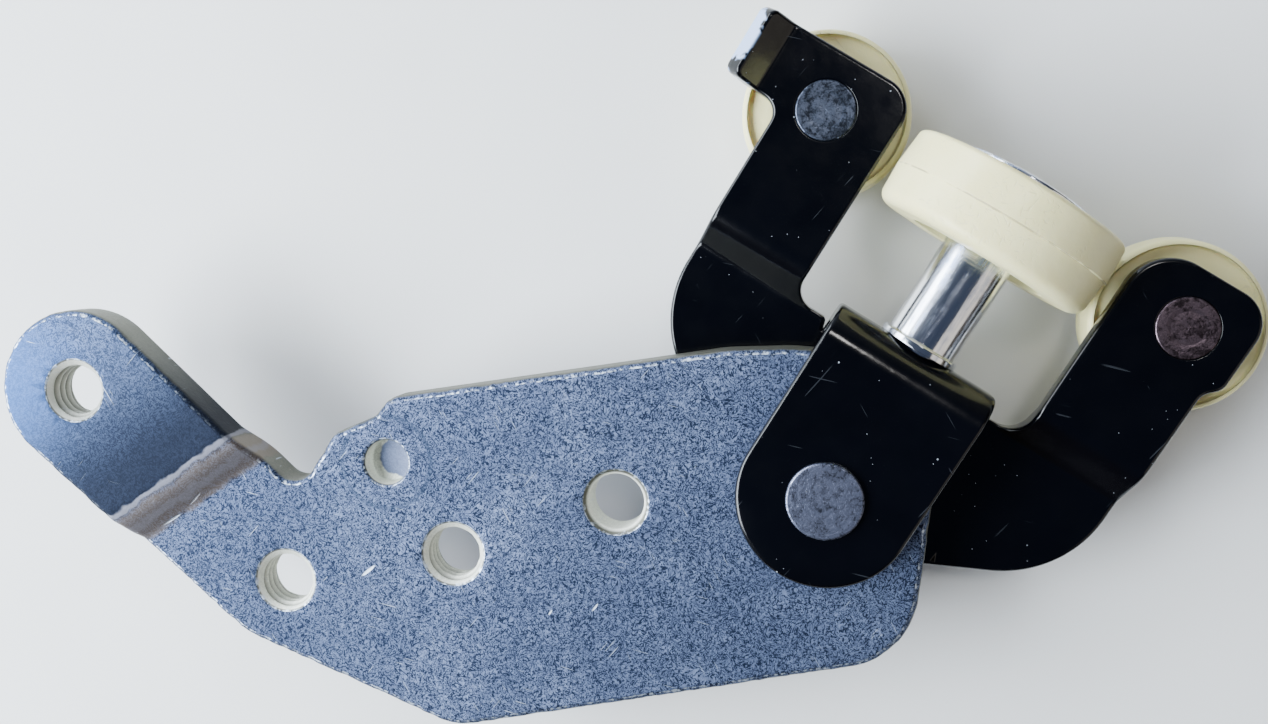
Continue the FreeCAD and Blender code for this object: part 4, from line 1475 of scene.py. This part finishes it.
finish_node("front_pivot_bush", BRONZE)
finish_node("rear_pivot_bush", BRONZE)


# ------------------------------------------------------------------ floor and light
def make_floor():
    """Pale floor that the lowest roller stands on."""
    low = loaded_bounds[0].z
    half = 3.0
    mesh = bpy.data.meshes.new("floor")
    corners = [(-half, -half, low), (half, -half, low), (half, half, low), (-half, half, low)]
    mesh.from_pydata(corners, [], [(0, 1, 2, 3)])
    floor = bpy.data.objects.new("floor", mesh)
    bpy.context.scene.collection.objects.link(floor)
    mesh.materials.append(floor_material())


def make_light(name, place, target, size, power, colour):
    """Soft light, size wide and high, aimed at a point."""
    lamp = bpy.data.lights.new(name, "AREA")
    lamp.shape = "RECTANGLE"
    lamp.size, lamp.size_y = size
    lamp.energy = power
    lamp.color = colour
    holder = bpy.data.objects.new(name, lamp)
    bpy.context.scene.collection.objects.link(holder)
    holder.location = place
    holder.rotation_mode = "QUATERNION"
    holder.rotation_quaternion = (Vector(target) - Vector(place)).to_track_quat("-Z", "Y")


CAMERA_PLACE = (0.0572, 0.0323, 0.1635)
CAMERA_RIGHT = (0.96943, -0.18864, -0.15688)
CAMERA_BACKWARD = (0.16716, 0.03977, 0.98513)


def make_camera():
    """Camera above the plate, a little towards the rollers."""
    lens = bpy.data.cameras.new("camera")
    lens.sensor_width = 36.0
    lens.lens = 34.85
    lens.shift_y = -0.0284
    lens.clip_start = 0.01
    lens.clip_end = 20.0
    camera = bpy.data.objects.new("camera", lens)
    bpy.context.scene.collection.objects.link(camera)
    right = Vector(CAMERA_RIGHT).normalized()
    backward = Vector(CAMERA_BACKWARD).normalized()
    turn = Matrix((right, backward.cross(right), backward)).transposed().to_4x4()
    camera.matrix_world = Matrix.Translation(CAMERA_PLACE) @ turn
    bpy.context.scene.camera = camera


def make_world():
    """Surroundings dark overhead, cool and light on the left, brown on the right."""
    world = bpy.data.worlds.new("studio")
    world.use_nodes = True
    tree = world.node_tree
    way = add(tree, "ShaderNodeTexCoord").outputs["Generated"]
    height = add(tree, "ShaderNodeSeparateXYZ", None, Vector=way).outputs[2]
    side = dot(tree, way, (-0.6, 0.8, 0.0))
    around = mix(tree, remap(tree, side, -0.2, 0.7), SKY_BROWN, SKY_COOL)
    sky = mix(tree, remap(tree, height, 0.5, 0.92), around, SKY_OVERHEAD)
    tree.links.new(sky, tree.nodes["Background"].inputs["Color"])
    bpy.context.scene.world = world


make_floor()
make_world()
make_camera()
MIDDLE = (0.03, 0.01, 0.0)
ROLLERS = (0.06, 0.02, 0.0)
make_light("window", (-0.42, 0.04, 0.34), MIDDLE, (0.5, 0.36), 14.0, (0.84, 0.92, 1.0))
make_light("side", (-0.27, 0.45, 0.22), ROLLERS, (0.4, 0.25), 4.0, (0.86, 0.93, 1.0))
make_light("fill", (0.55, -0.35, 0.4), MIDDLE, (0.5, 0.5), 0.7, (1.0, 0.93, 0.84))
make_light("strip", (0.18, 0.15, 0.5), ROLLERS, (0.06, 0.06), 0.4, (1.0, 0.98, 0.95))
